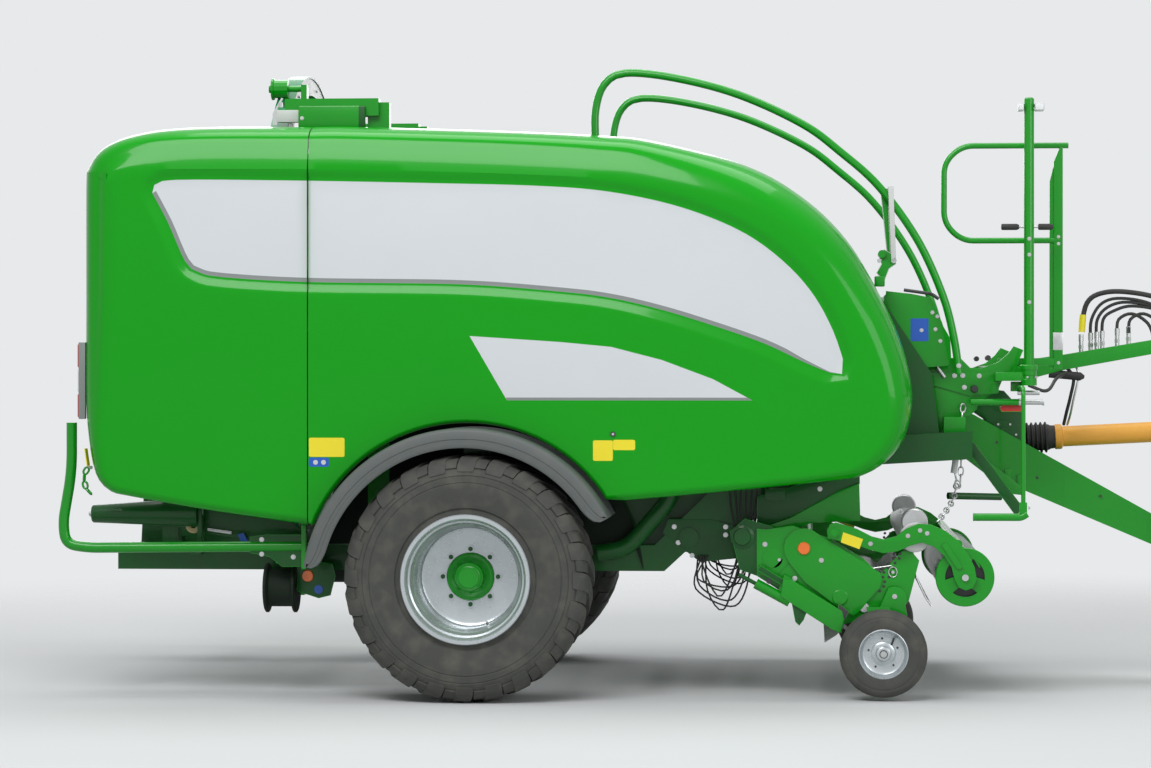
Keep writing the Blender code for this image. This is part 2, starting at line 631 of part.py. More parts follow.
# ------------------------------------------------------------------ wrapping ring and film
def build_ring():
    section = [(RING_BORE, RING_X0), (RING_R, RING_X0), (RING_R, RING_X1), (RING_BORE, RING_X1)]
    ring = lathe(section, (0.0, 0.0, RING_Z), (1, 0, 0), 48)
    origin = (-1.017, 0.0, RING_Z)
    finish(ring, "wrapping_ring", "silver", origin)
    for side, word in ((-1, "right"), (1, "left")):
        y = side * ROLL_ORBIT
        reach = side * (RING_BORE - TOUCH)
        z = RING_Z
        lo, hi = sorted((side * 0.985, reach))
        arm = box((-1.055, lo, z - 0.155), (-0.979, hi, z + 0.155))
        arm = cut(arm, lathe([(RING_BORE - TOUCH, -0.2), (1.4, -0.2), (1.4, 0.2),
                              (RING_BORE - TOUCH, 0.2)], (-1.017, 0.0, RING_Z), (1, 0, 0), 48))
        bars = []
        pins = []
        for end in (-1.385, -0.648):
            lo, hi = sorted((side * 0.93, side * 1.10))
            bars.append(box((end - 0.010, lo, z + 0.125), (end + 0.010, hi, z + 0.165)))
            lo, hi = sorted((side * 0.985, side * 1.035))
            bars.append(box((end - 0.010, lo, z - 0.03), (end + 0.010, hi, z + 0.150)))
            nudge = 0.058 if end < -1 else -0.058
            pins.append(cylinder((end, y, z), (end + nudge, y, z), 0.03))
        lo, hi = sorted((side * 0.985, side * 1.035))
        bars.append(box((-1.385, lo, z + 0.125), (-0.648, hi, z + 0.150)))
        body = fuse(arm, *bars)
        body = cut(body, cylinder((-1.345, y, z), (-0.688, y, z), ROLL_R + 0.006))
        finish(fuse(body, *pins), "film_dispenser_" + word, "black", origin)
        roll = cylinder((-1.345, y, z), (-0.688, y, z), ROLL_R)
        bores = [cylinder((-1.40, y, z), (-1.3265, y, z), 0.0305),
                 cylinder((-0.7065, y, z), (-0.64, y, z), 0.0305)]
        finish(cut(roll, *bores), "film_roll_" + word, "film", (-1.017, y, z))


def build_table():
    px, pz = TABLE_PIVOT
    front = -1.017 + TABLE_ROLL_DX
    rear = -1.017 - TABLE_ROLL_DX
    height = RING_Z - math.sqrt((BALE_R + TABLE_ROLL_R) ** 2 - TABLE_ROLL_DX ** 2)
    pieces = []
    for side in (-1, 1):
        lo, hi = sided(side, 0.24, 0.31)
        pieces.append(box((px, lo, 1.20), (-0.43, hi, 1.27)))
        pieces.append(cylinder((px, lo, pz), (px, hi, pz), 0.055))
        lo, hi = sided(side, 0.515, 0.545)
        for x in (front, rear):
            pieces.append(prism([(x - 0.06, 1.215), (x + 0.06, 1.215), (x + 0.045, height + 0.03),
                                 (x - 0.045, height + 0.03)], lo, hi))
    for x in (front, rear):
        pieces.append(box((x - 0.045, -0.53, 1.215), (x + 0.045, 0.53, 1.265)))
    body = fuse(*pieces)
    body = cut(body, cylinder((px, -0.5, pz), (px, 0.5, pz), 0.0265))
    finish(body, "table_frame", "green", (px, 0.0, pz))
    for x, word in ((front, "front"), (rear, "rear")):
        roll = cylinder((x, -0.505, height), (x, 0.505, height), TABLE_ROLL_R)
        ends = cylinder((x, -0.5147, height), (x, 0.5147, height), 0.030)
        roll = fuse(roll, ends)
        finish(roll, "table_roller_" + word, "black", (x, 0.0, height))


# ------------------------------------------------------------------ bodywork and rails
def build_fender(side, word):
    section = [(0.802, side * 0.8623), (0.802, side * 1.45), (0.705, side * 1.45),
               (0.705, side * 1.438), (0.790, side * 1.438), (0.790, side * 0.8623)]
    strip = lathe(section, (ARCH[0], 0.0, ARCH[1]), (0, 1, 0), 24, -81.5, 144.5)
    finish(strip, "fender_" + word, "grey_plastic")


def build_rails(side, word):
    y = side * 0.775
    path = [(0.596, y, 2.80), (0.596, y, 2.96), (0.640, y, 3.09), (0.746, y, 3.148),
            (1.0, y, 3.122), (1.323, y, 3.035), (1.646, y, 2.885), (1.839, y, 2.742),
            (2.033, y, 2.566), (2.224, y, 2.301), (2.353, y, 2.018), (2.410, y, 1.80),
            (2.436, y, 1.62)]
    keys = [Vector(p) for p in path]
    curve = []
    for v in smooth([(p.x, p.z) for p in keys], 0.16):
        curve.append((v.x, y, v.y))
    rail = tube(curve, 0.020)
    foot = box((0.55, y - 0.022, 2.7308), (0.65, y + 0.022, 2.81))
    finish(fuse(rail, foot), "top_rail_" + word, "green")


def build_rear_guide(side, word):
    y = side * 1.12
    path = [(-2.029, y, 1.373), (-2.029, y, 1.128), (-2.074, y, 0.87), (-2.060, y, 0.76),
            (-1.943, y, 0.742), (-0.856, y, 0.754)]
    bar = tube(path, 0.0265, 0.09)
    lo, hi = sided(side, 0.8503, 1.13)
    stay = box((-0.99, lo, 0.665), (-0.86, hi, 0.745))
    plate_lo, plate_hi = sided(side, 1.095, 1.145)
    plate = prism([(-1.02, 0.80), (-0.84, 0.80), (-0.84, 0.68), (-0.95, 0.645), (-1.02, 0.70)],
                  plate_lo, plate_hi)
    drum = lathe([(0.02, -0.08), (0.125, -0.08), (0.125, -0.062), (0.095, -0.055), (0.095, 0.055),
                  (0.125, 0.062), (0.125, 0.08), (0.02, 0.08)],
                 (-0.985, side * 0.965, 0.535), (1, 0, 0), 18)
    lo, hi = sided(side, 0.93, 1.0)
    hanger = box((-0.885, lo, 0.50), (-0.865, hi, 0.68))
    pin = cylinder((-1.07, side * 0.965, 0.535), (-0.87, side * 0.965, 0.535), 0.022)
    finish(fuse(stay, plate, bar, hanger, pin, drum), "rear_guide_" + word, "green")


def build_tail(side, word):
    y = side * 0.93
    cone = cylinder((-1.965, y, 0.905), (-1.42, y, 0.915), 0.045, 0.075)
    pin = cylinder((-1.40, y, 0.915), (-1.98, y, 0.905), 0.016)
    lo, hi = sided(side, 0.90, 0.96)
    stay = box((-1.42, lo, 0.7153), (-1.395, hi, 0.96))
    foot_lo, foot_hi = sided(side, 0.8503, 0.97)
    foot = box((-1.45, foot_lo, 0.700), (-1.395, foot_hi, 0.735))
    finish(fuse(foot, stay, pin, cone), "tail_roller_" + word, "black")
    lo, hi = sided(side, 1.17, 1.20)
    lamp = box((-1.985, lo, 1.39), (-1.9418, hi, 1.78))
    return lamp


# ------------------------------------------------------------------ front end
def build_drawbar():
    side_view = [
        (2.4703, 1.43), (2.54, 1.405), (2.924, 1.192), (3.46, 0.890), (4.08, 0.545), (4.12, 0.535),
        (4.12, 0.450), (3.46, 0.728), (2.81, 1.006), (2.4703, 1.215),
    ]
    beam = prism(side_view, -0.16, 0.16)
    taper = []
    for side in (-1, 1):
        wedge = [(3.0, side * 0.161), (4.30, side * 0.07), (4.30, side * 0.40), (3.0, side * 0.40)]
        taper.append(prism_z(wedge, 0.0, 2.0))
    trough = box((2.60, -0.125, 1.12), (3.10, 0.125, 1.60))
    beam = cut(beam, trough, *taper)
    rest = prism([(3.79, 0.65), (3.87, 0.62), (3.86, 1.2777), (3.80, 1.2747)], -0.02, 0.02)
    finish(fuse(beam, rest), "drawbar", "green")
    shank = box((4.1203, -0.045, 0.462), (4.30, 0.045, 0.522))
    eye = cylinder((4.352, 0, 0.4675), (4.352, 0, 0.5165), 0.078)
    flange = box((4.1203, -0.075, 0.452), (4.15, 0.075, 0.535))
    body = cut(fuse(flange, shank, eye), cylinder((4.352, 0, 0.4), (4.352, 0, 0.6), 0.026))
    finish(body, "hitch_eye", "black")


def build_jack():
    y = -0.245
    x = 3.62
    leg = box((x - 0.035, y - 0.035, 0.30), (x + 0.035, y + 0.035, 1.10))
    foot_leg = box((x - 0.026, y - 0.026, 0.01), (x + 0.026, y + 0.026, 0.32))
    foot = box((x - 0.11, y - 0.09, 0.0), (x + 0.11, y + 0.09, 0.014))
    clamp = box((x - 0.05, y + 0.03, 0.70), (x + 0.05, -0.1215, 0.80))
    crank = tube([(x, y, 1.09), (x, y, 1.13), (x, y - 0.14, 1.13), (x, y - 0.14, 1.21)], 0.010, 0.02)
    finish(fuse(leg, foot_leg, foot, clamp, crank), "parking_jack", "black")


def build_drive():
    gear = prism([(2.4703, 1.4403), (2.5403, 1.42), (2.60, 1.38), (2.60, 1.125), (2.80, 1.125),
                  (2.80, 1.42), (2.70, 1.53), (2.4703, 1.56)], -0.12, 0.12)
    stub = cylinder((2.76, 0, 1.279), (2.82, 0, 1.279), 0.065)
    finish(fuse(gear, stub), "gearbox", "dark_green")
    rings = [(0.030, 0.0)]
    for k in range(5):
        rings += [(0.082, 0.006 + 0.028 * k), (0.068, 0.020 + 0.028 * k)]
    rings += [(0.060, 0.150), (0.030, 0.150)]
    start = Vector((2.8218, 0.0, 1.279))
    lean = math.radians(2.9)
    along = Vector((math.cos(lean), 0.0, math.sin(lean)))
    bellows = lathe(rings, start, along, 16)
    core = cylinder(start + along * 0.005, start + along * 0.15, 0.034)
    finish(fuse(bellows, core), "pto_boot", "black")
    begin = start + along * 0.1503
    end = start + along * 1.10
    tube_piece = cylinder(begin, end, 0.0535)
    collar = cylinder(begin, begin + along * 0.035, 0.066)
    finish(fuse(tube_piece, collar), "pto_guard", "yellow")
    tail = end + along * TOUCH
    cone = cylinder(tail, tail + along * 0.13, 0.058, 0.085)
    yoke = cylinder(tail + along * 0.10, tail + along * 0.20, 0.040)
    finish(fuse(cone, yoke), "pto_yoke", "black")
    return start, along


def build_front():
    cheek = [
        (2.22, 1.665), (2.30, 1.3203), (2.47, 1.3203), (2.56, 1.46), (2.64, 1.52), (2.70, 1.60),
        (2.77, 1.74), (2.72, 1.76), (2.64, 1.675), (2.54, 1.645), (2.40, 1.665),
    ]
    pieces = []
    for side in (-1, 1):
        lo, hi = sided(side, 0.58, 0.61)
        pieces.append(prism(cheek, lo, hi))
    pieces.append(box((2.37, -0.60, 1.3203), (2.46, 0.60, 1.40)))
    pieces.append(box((2.60, -0.60, 1.61), (2.66, 0.60, 1.66)))
    pieces.append(box((2.36, -0.745, 1.3203), (2.47, -0.58, 1.40)))
    pieces.append(cylinder((2.50, -0.66, 1.475), (2.87, -0.66, 1.475), 0.015))
    pieces.append(cylinder((2.52, -0.67, 1.475), (2.52, -0.60, 1.475), 0.03))
    x, y = MAST_X, MAST_Y
    pieces.append(cylinder((x, y, 1.56), (x, y, 1.64), 0.040))
    pieces.append(box((2.62, y - 0.02, 1.58), (x, -0.59, 1.63)))
    body = cut(fuse(*pieces), cylinder((x, y, 1.50), (x, y, 1.70), 0.0275))
    finish(body, "front_frame", "green")
    walls = []
    for side in (-1, 1):
        lo, hi = sided(side, 0.68, 0.70)
        walls.append(prism([(2.06, 1.70), (2.13, 1.6353), (2.38, 1.6553), (2.40, 1.70), (2.395, 2.00),
                            (2.07, 2.04)], lo, hi))
    walls.append(box((2.07, -0.69, 1.6653), (2.39, 0.69, 1.685)))
    walls.append(box((2.07, -0.69, 1.67), (2.09, 0.69, 2.03)))
    walls.append(cylinder((2.25, -0.69, 1.84), (2.25, 0.69, 1.84), 0.11))
    walls.append(box((2.37, -0.69, 1.67), (2.39, 0.69, 1.80)))
    finish(fuse(*walls), "net_roll_box", "green")


def build_stand():
    """Hose arm, hand rails, lamp mast and side step at the front."""
    arm = prism([(2.76, 1.60), (2.80, 1.585), (3.003, 1.64), (3.75, 1.775), (3.75, 1.845),
                 (3.003, 1.72), (2.72, 1.68), (2.6603, 1.665), (2.6603, 1.615)], -0.34, -0.27)
    finish(arm, "hose_arm", "green")
    y = -0.55
    loop = tube([(2.935, y, 2.30), (2.46, y, 2.30), (2.369, y, 2.39), (2.369, y, 2.70),
                 (2.46, y, 2.785), (3.00, y, 2.785)], 0.015, 0.08)
    post = box((2.925, y - 0.012, 1.64), (2.972, y + 0.012, 2.80))
    join = box((2.64, y - 0.012, 1.6603), (2.972, y + 0.012, 1.70))
    finish(fuse(post, loop, join), "handrail_loop", "green")
    x, y = MAST_X, MAST_Y
    post = cylinder((x, y, 1.575), (x, y, 3.013), 0.0255)
    ring = cylinder((x, y, 1.6403), (x, y, 1.665), 0.045)
    grip = cylinder((x - 0.14, y, 2.361), (x + 0.12, y, 2.361), 0.013)
    top = box((x - 0.055, y - 0.012, 2.985), (x + 0.075, y + 0.012, 3.013))
    axis = (x, y, 1.60)
    finish(fuse(post, ring, grip, top), "mast_post", "green", axis)
    lamps = [box((x - 0.056, y - 0.045, 2.945), (x - 0.028, y + 0.045, 2.9847)),
             box((x + 0.028, y - 0.045, 2.945), (x + 0.074, y + 0.045, 2.9847))]
    bridge = box((x - 0.052, y + 0.0258, 2.968), (x + 0.072, y + 0.040, 2.9847))
    finish(fuse(bridge, *lamps), "mast_lamps", "lamp", axis)
    y = -1.16
    rod = tube([(2.734, y, 0.912), (2.734, y, 1.55), (2.734, -0.68, 1.55)], 0.011, 0.03)
    bar = cylinder((2.49, y, 0.912), (2.752, y, 0.912), 0.019)
    pad = box((2.70, -0.70, 1.53), (2.765, -0.6753, 1.5797))
    finish(fuse(bar, rod, pad), "side_step", "green")


# ------------------------------------------------------------------ pickup
def build_pickup():
    px, pz = PICKUP_PIVOT
    cover = [
        (1.28, 0.83), (1.36, 0.90), (1.47, 0.86), (1.60, 0.90), (1.76, 0.88), (1.86, 0.84),
        (2.02, 0.78), (2.17, 0.57), (2.10, 0.42), (2.02, 0.40), (1.80, 0.34), (1.50, 0.55),
        (1.33, 0.62),
    ]
    pieces = []
    for side in (-1, 1):
        lo, hi = sided(side, 1.03, 1.06)
        pieces.append(prism(cover, lo, hi))
        lo, hi = sided(side, 1.03, 1.10)
        pieces.append(prism([(1.35, 0.60), (1.80, 0.32), (1.84, 0.37), (1.42, 0.66)], lo, hi))
        hub = cylinder((px, side * 0.845, pz), (px, side * 1.085, pz), 0.06)
        pieces.append(hub)
        pieces.append(cylinder((GUARD_PIVOT[0], side * 1.04, GUARD_PIVOT[1]),
                               (GUARD_PIVOT[0], side * 1.115, GUARD_PIVOT[1]), 0.020))
        pieces.append(cylinder((GAUGE[0], side * 1.05, GAUGE[1]),
                               (GAUGE[0], side * 1.205, GAUGE[1]), 0.018))
        pieces.append(cylinder((GAUGE[0], side * 1.05, GAUGE[1]),
                               (GAUGE[0], side * 1.1197, GAUGE[1]), 0.030))
        pieces.append(cylinder((GUARD_PIVOT[0], side * 1.05, GUARD_PIVOT[1]),
                               (GUARD_PIVOT[0], side * 1.0707, GUARD_PIVOT[1]), 0.034))
        lo, hi = sided(side, 1.045, 1.075)
        pieces.append(prism([(1.96, 0.46), (2.09, 0.46), (2.08, 0.20), (2.015, 0.20)], lo, hi))
    pieces.append(cylinder((1.50, -1.045, 0.70), (1.50, 1.045, 0.70), 0.05))
    pieces.append(cylinder((1.66, -1.045, 0.80), (1.66, 1.045, 0.80), 0.035))
    pieces.append(prism([(1.45, 0.60), (1.49, 0.575), (1.70, 0.80), (1.67, 0.83)], -1.045, 1.045))
    body = fuse(*pieces)
    bores = [cylinder((REEL[0], -1.2, REEL[1]), (REEL[0], 1.2, REEL[1]), 0.0265)]
    bores.append(cylinder((px, -0.88, pz), (px, 0.88, pz), 0.0265))
    body = cut(body, *bores)
    finish(body, "pickup_frame", "green", (px, 0, pz))
    rod = cylinder((REEL[0], -1.052, REEL[1]), (REEL[0], 1.052, REEL[1]), 0.024)
    drum = cylinder((REEL[0], -1.0, REEL[1]), (REEL[0], 1.0, REEL[1]), 0.13)
    ends = cylinder((REEL[0], -1.0297, REEL[1]), (REEL[0], 1.0297, REEL[1]), 0.050)
    paddles = []
    for k in range(4):
        angle = math.radians(45 + 90 * k)
        out = Vector((math.cos(angle), 0, math.sin(angle)))
        flat = Vector((-out.z, 0, out.x)) * 0.007
        hub = Vector((REEL[0], 0, REEL[1]))
        blade = [hub + out * 0.10 - flat, hub + out * 0.27 - flat, hub + out * 0.27 + flat,
                 hub + out * 0.10 + flat]
        paddles.append(prism([(p.x, p.z) for p in blade], -0.97, 0.97))
    finish(fuse(drum, ends, rod, *paddles), "pickup_reel", "steel", (REEL[0], 0, REEL[1]))
    arm = [
        (1.765, 0.80), (1.765, 0.865), (1.80, 0.885), (1.92, 0.845), (2.03, 0.80), (2.12, 0.835),
        (2.24, 0.885), (2.40, 0.80), (2.50, 0.70), (2.52, 0.60), (2.46, 0.54), (2.39, 0.58),
        (2.36, 0.68), (2.25, 0.76), (2.12, 0.745), (2.04, 0.715), (1.93, 0.765), (1.83, 0.785),
    ]
    guard = []
    bores = []
    for side in (-1, 1):
        lo, hi = sided(side, 1.071, 1.093)
        guard.append(prism(arm, lo, hi))
        bores.append(cylinder((GUARD_PIVOT[0], side * 1.02, GUARD_PIVOT[1]),
                              (GUARD_PIVOT[0], side * 1.12, GUARD_PIVOT[1]), 0.0225))
        bores.append(cylinder((CROP_ROLL[0], side * 1.02, CROP_ROLL[1]),
                              (CROP_ROLL[0], side * 1.12, CROP_ROLL[1]), 0.0205))
    guard.append(cylinder((2.206, -1.085, 0.812), (2.206, 1.085, 0.812), 0.055))
    finish(cut(fuse(*guard), *bores), "windguard", "green", (GUARD_PIVOT[0], 0, GUARD_PIVOT[1]))
    roll = cylinder((CROP_ROLL[0], -1.062, CROP_ROLL[1]), (CROP_ROLL[0], 1.062, CROP_ROLL[1]),
                    CROP_ROLL_R)
    pins = cylinder((CROP_ROLL[0], -1.11, CROP_ROLL[1]), (CROP_ROLL[0], 1.11, CROP_ROLL[1]), 0.018)
    ends = cylinder((CROP_ROLL[0], -1.0707, CROP_ROLL[1]), (CROP_ROLL[0], 1.0707, CROP_ROLL[1]),
                    0.040)
    finish(fuse(roll, ends, pins), "crop_roller", "green", (CROP_ROLL[0], 0, CROP_ROLL[1]))
    for side, word in ((-1, "right"), (1, "left")):
        y = side * 1.15
        tyre = lathe([(0.122, -0.048), (0.165, -0.055), (0.205, -0.046), (GAUGE_R, -0.022),
                      (GAUGE_R, 0.022), (0.205, 0.046), (0.165, 0.055), (0.122, 0.048)],
                     (GAUGE[0], y, GAUGE[1]), (0, side, 0), 22)
        axle = (GAUGE[0], 0, GAUGE[1])
        finish(tyre, "gauge_tyre_" + word, "rubber", axle)
        rim = lathe([(0.0205, -0.03), (0.035, -0.03), (0.035, -0.006), (0.1, -0.006),
                     (0.1217, -0.046), (0.1217, 0.046), (0.1, 0.0), (0.035, 0.0), (0.035, 0.045),
                     (0.0205, 0.045)], (GAUGE[0], y, GAUGE[1]), (0, side, 0), 22)
        finish(rim, "gauge_rim_" + word, "silver", axle)


# ------------------------------------------------------------------ the whole machine
build_chassis()
build_axle()
build_ring_frame()
build_chamber()
build_ring()
build_table()
build_drawbar()
build_jack()
build_drive()
build_front()
build_stand()
build_pickup()
for side, word in ((-1, "right"), (1, "left")):
    build_panels(side, word)
    build_wheel(side, word)
    build_fender(side, word)
    build_rails(side, word)
    build_rear_guide(side, word)
    lamp = build_tail(side, word)
    finish(lamp, "rear_lamp_" + word, "lamp")
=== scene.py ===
import json
import math

import bmesh
import bpy
from mathutils import Matrix, Vector
from mathutils.geometry import delaunay_2d_cdt


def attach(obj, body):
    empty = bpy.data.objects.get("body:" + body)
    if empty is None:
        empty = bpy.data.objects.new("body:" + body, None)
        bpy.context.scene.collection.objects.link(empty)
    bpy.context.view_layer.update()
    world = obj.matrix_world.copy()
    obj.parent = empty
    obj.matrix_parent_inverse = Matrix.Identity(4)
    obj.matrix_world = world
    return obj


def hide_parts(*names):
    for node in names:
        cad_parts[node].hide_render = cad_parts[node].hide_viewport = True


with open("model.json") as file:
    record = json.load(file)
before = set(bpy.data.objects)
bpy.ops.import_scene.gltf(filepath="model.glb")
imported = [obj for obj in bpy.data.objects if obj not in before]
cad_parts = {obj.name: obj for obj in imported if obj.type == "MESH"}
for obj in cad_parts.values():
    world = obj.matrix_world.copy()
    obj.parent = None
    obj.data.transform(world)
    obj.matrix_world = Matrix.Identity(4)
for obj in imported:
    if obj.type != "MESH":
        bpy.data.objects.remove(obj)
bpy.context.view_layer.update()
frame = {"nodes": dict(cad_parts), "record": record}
nodes = frame["nodes"]

# ------------------------------------------------------------------ shared sizes, metres
AXLE_X = -1.165            # lengths below are written ahead of the axle
WHEEL_R = 0.61
TYRE_MID = 1.19
HALF = 0.28
BODY_Y = 1.30
SKIN = 0.030
SEAM_X = -0.805
DOOR_GAP = 0.006
ROOF_Z = 2.864
RING_Z = 1.965
ARCH = (-0.012, 0.55)


# ------------------------------------------------------------------ materials
def material(name, colour, rough=0.5, metallic=0.0, coat=0.0, spec=0.5, noise=0.06, scale=6.0,
             bump=0.0, bump_scale=300.0, dirt=None, dirt_amount=0.0, rough_noise=0.06):
    """A painted or moulded surface: slow colour drift, uneven gloss, fine texture and dust."""
    mat = bpy.data.materials.new(name)
    mat.use_nodes = True
    tree = mat.node_tree
    shader = tree.nodes["Principled BSDF"]
    shader.inputs["Metallic"].default_value = metallic
    shader.inputs["Coat Weight"].default_value = coat
    shader.inputs["Coat Roughness"].default_value = 0.06
    shader.inputs["Specular IOR Level"].default_value = spec
    coords = tree.nodes.new("ShaderNodeTexCoord")
    cloud = tree.nodes.new("ShaderNodeTexNoise")
    cloud.inputs["Scale"].default_value = scale
    cloud.inputs["Detail"].default_value = 5.0
    tree.links.new(coords.outputs["Object"], cloud.inputs["Vector"])
    ramp = tree.nodes.new("ShaderNodeMix")
    ramp.data_type = "RGBA"
    ramp.inputs["A"].default_value = (*[c * (1 - noise) for c in colour], 1)
    ramp.inputs["B"].default_value = (*[min(1, c * (1 + noise)) for c in colour], 1)
    tree.links.new(cloud.outputs["Fac"], ramp.inputs["Factor"])
    result = ramp.outputs["Result"]
    if dirt:
        dust = tree.nodes.new("ShaderNodeTexNoise")
        dust.inputs["Scale"].default_value = 11.0
        dust.inputs["Detail"].default_value = 9.0
        tree.links.new(coords.outputs["Object"], dust.inputs["Vector"])
        limit = tree.nodes.new("ShaderNodeMapRange")
        limit.inputs["From Min"].default_value = 0.45
        limit.inputs["From Max"].default_value = 0.80
        limit.inputs["To Max"].default_value = dirt_amount
        tree.links.new(dust.outputs["Fac"], limit.inputs["Value"])
        film = tree.nodes.new("ShaderNodeMix")
        film.data_type = "RGBA"
        tree.links.new(limit.outputs["Result"], film.inputs["Factor"])
        tree.links.new(result, film.inputs["A"])
        film.inputs["B"].default_value = (*dirt, 1)
        result = film.outputs["Result"]
    tree.links.new(result, shader.inputs["Base Color"])
    gloss = tree.nodes.new("ShaderNodeMapRange")
    gloss.inputs["To Min"].default_value = max(0.02, rough - rough_noise)
    gloss.inputs["To Max"].default_value = min(1.0, rough + rough_noise)
    tree.links.new(cloud.outputs["Fac"], gloss.inputs["Value"])
    tree.links.new(gloss.outputs["Result"], shader.inputs["Roughness"])
    if bump:
        grain = tree.nodes.new("ShaderNodeTexNoise")
        grain.inputs["Scale"].default_value = bump_scale
        grain.inputs["Detail"].default_value = 3.0
        tree.links.new(coords.outputs["Object"], grain.inputs["Vector"])
        relief = tree.nodes.new("ShaderNodeBump")
        relief.inputs["Strength"].default_value = bump
        relief.inputs["Distance"].default_value = 0.002
        tree.links.new(grain.outputs["Fac"], relief.inputs["Height"])
        tree.links.new(relief.outputs["Normal"], shader.inputs["Normal"])
    return mat


DUST = (0.10, 0.085, 0.06)
PANEL = material("panel_green", (0.000, 0.330, 0.002), 0.24, coat=0.30, spec=0.15, noise=0.03,
                 scale=1.5, bump=0.015, bump_scale=45.0, rough_noise=0.03)
PANEL_BACK = material("panel_inside", (0.012, 0.060, 0.014), 0.6, bump=0.3, bump_scale=120.0)
GREEN = material("frame_green", (0.001, 0.285, 0.006), 0.30, coat=0.35, spec=0.3, noise=0.05,
                 scale=5.0, bump=0.05, bump_scale=160.0, dirt=DUST, dirt_amount=0.06)
CHASSIS = material("chassis_green", (0.001, 0.085, 0.008), 0.42, coat=0.2, spec=0.3, noise=0.10,
                   scale=4.0, bump=0.08, bump_scale=140.0, dirt=(0.04, 0.05, 0.03),
                   dirt_amount=0.25)
# the ring's green is tinted teal: the blue tint is a painted reflection of the sky
TEAL_SKY_REFLECTION = material("ring_green_sky_reflection", (0.003, 0.210, 0.060), 0.38, coat=0.3, noise=0.06)
SILVER = material("silver_film", (0.66, 0.69, 0.71), 0.36, metallic=0.25, coat=0.3, noise=0.02,
                  scale=2.0, bump=0.01, bump_scale=80.0, rough_noise=0.03)
STRIPE = material("grey_stripe", (0.235, 0.255, 0.250), 0.42, metallic=0.2, coat=0.2, noise=0.03)
RUBBER = material("tyre_rubber", (0.066, 0.068, 0.062), 0.80, spec=0.35, noise=0.18, scale=9.0,
                  bump=0.35, bump_scale=220.0, dirt=(0.17, 0.16, 0.13), dirt_amount=0.45)
RIM = material("rim_silver", (0.52, 0.56, 0.58), 0.28, metallic=0.55, coat=0.3, noise=0.05,
               scale=8.0, bump=0.04, bump_scale=180.0, dirt=DUST, dirt_amount=0.12)
PLASTIC = material("grey_plastic", (0.105, 0.118, 0.115), 0.55, noise=0.08, scale=5.0, bump=0.30,
                   bump_scale=420.0, dirt=(0.17, 0.16, 0.14), dirt_amount=0.25)
BLACK = material("black_paint", (0.018, 0.019, 0.020), 0.42, coat=0.2, noise=0.2, bump=0.08,
                 bump_scale=160.0, dirt=DUST, dirt_amount=0.20)
BLACK_RUBBER = material("black_rubber", (0.020, 0.020, 0.020), 0.70, noise=0.2, bump=0.2,
                        bump_scale=260.0, dirt=DUST, dirt_amount=0.2)
STEEL = material("zinc_steel", (0.56, 0.57, 0.57), 0.34, metallic=0.9, noise=0.12, scale=30.0,
                 bump=0.08, bump_scale=240.0, dirt=(0.22, 0.19, 0.15), dirt_amount=0.15)
WORN = material("worn_steel", (0.36, 0.37, 0.37), 0.38, metallic=0.9, noise=0.25, scale=14.0,
                bump=0.15, bump_scale=180.0, dirt=(0.14, 0.09, 0.05), dirt_amount=0.4)
YELLOW = material("guard_yellow", (0.80, 0.38, 0.045), 0.48, noise=0.08, scale=8.0, bump=0.10,
                  bump_scale=200.0, dirt=DUST, dirt_amount=0.12)
LABEL = material("label_yellow", (0.88, 0.74, 0.020), 0.40, coat=0.2, noise=0.03)
BLUE = material("label_blue", (0.010, 0.100, 0.500), 0.40, coat=0.2, noise=0.03)
ORANGE = material("reflector_orange", (0.900, 0.170, 0.010), 0.25, coat=0.6, noise=0.05,
                  scale=40.0, bump=0.4, bump_scale=500.0)
RED = material("red_paint", (0.55, 0.015, 0.010), 0.38, coat=0.3, noise=0.05)
WHITE = material("white_plastic", (0.62, 0.63, 0.62), 0.42, noise=0.04, bump=0.05)
CREAM = material("pulley_cream", (0.62, 0.50, 0.26), 0.45, noise=0.05)
# near-black painted shade: the sheets in the wheel wells and the drum beside the rear guide stand in for
# shadow
SHADOW = material("painted_shade_black", (0.010, 0.018, 0.011), 0.7, spec=0.2, noise=0.1)
LENS = material("lamp_lens", (0.80, 0.82, 0.84), 0.12, coat=0.8, noise=0.03, scale=60.0, bump=0.5,
                bump_scale=260.0)
FILM = material("film_wrap", (0.47, 0.60, 0.46), 0.24, coat=0.5, noise=0.05, scale=20.0, bump=0.1,
                bump_scale=90.0)

LOOKS = {
    "panel_green": PANEL, "frame_green": GREEN, "chassis_green": CHASSIS, "tyre_rubber": RUBBER,
    "rim_silver": RIM, "fender_grey": PLASTIC, "black_steel": BLACK, "black_rubber": BLACK_RUBBER,
    "black_plastic": BLACK_RUBBER, "bare_steel": WORN, "ring_steel": TEAL_SKY_REFLECTION,
    "guard_yellow": YELLOW, "film_wrap": FILM, "lamp_lens": LENS,
}
for row in frame["record"]["subparts"]:
    mesh = nodes[row["node"]].data
    mesh.materials.clear()
    mesh.materials.append(LOOKS[row["material_slot"]])
    for poly in mesh.polygons:
        poly.material_index = 0
    mesh.shade_smooth()
    mesh.set_sharp_from_angle(angle=math.radians(28))


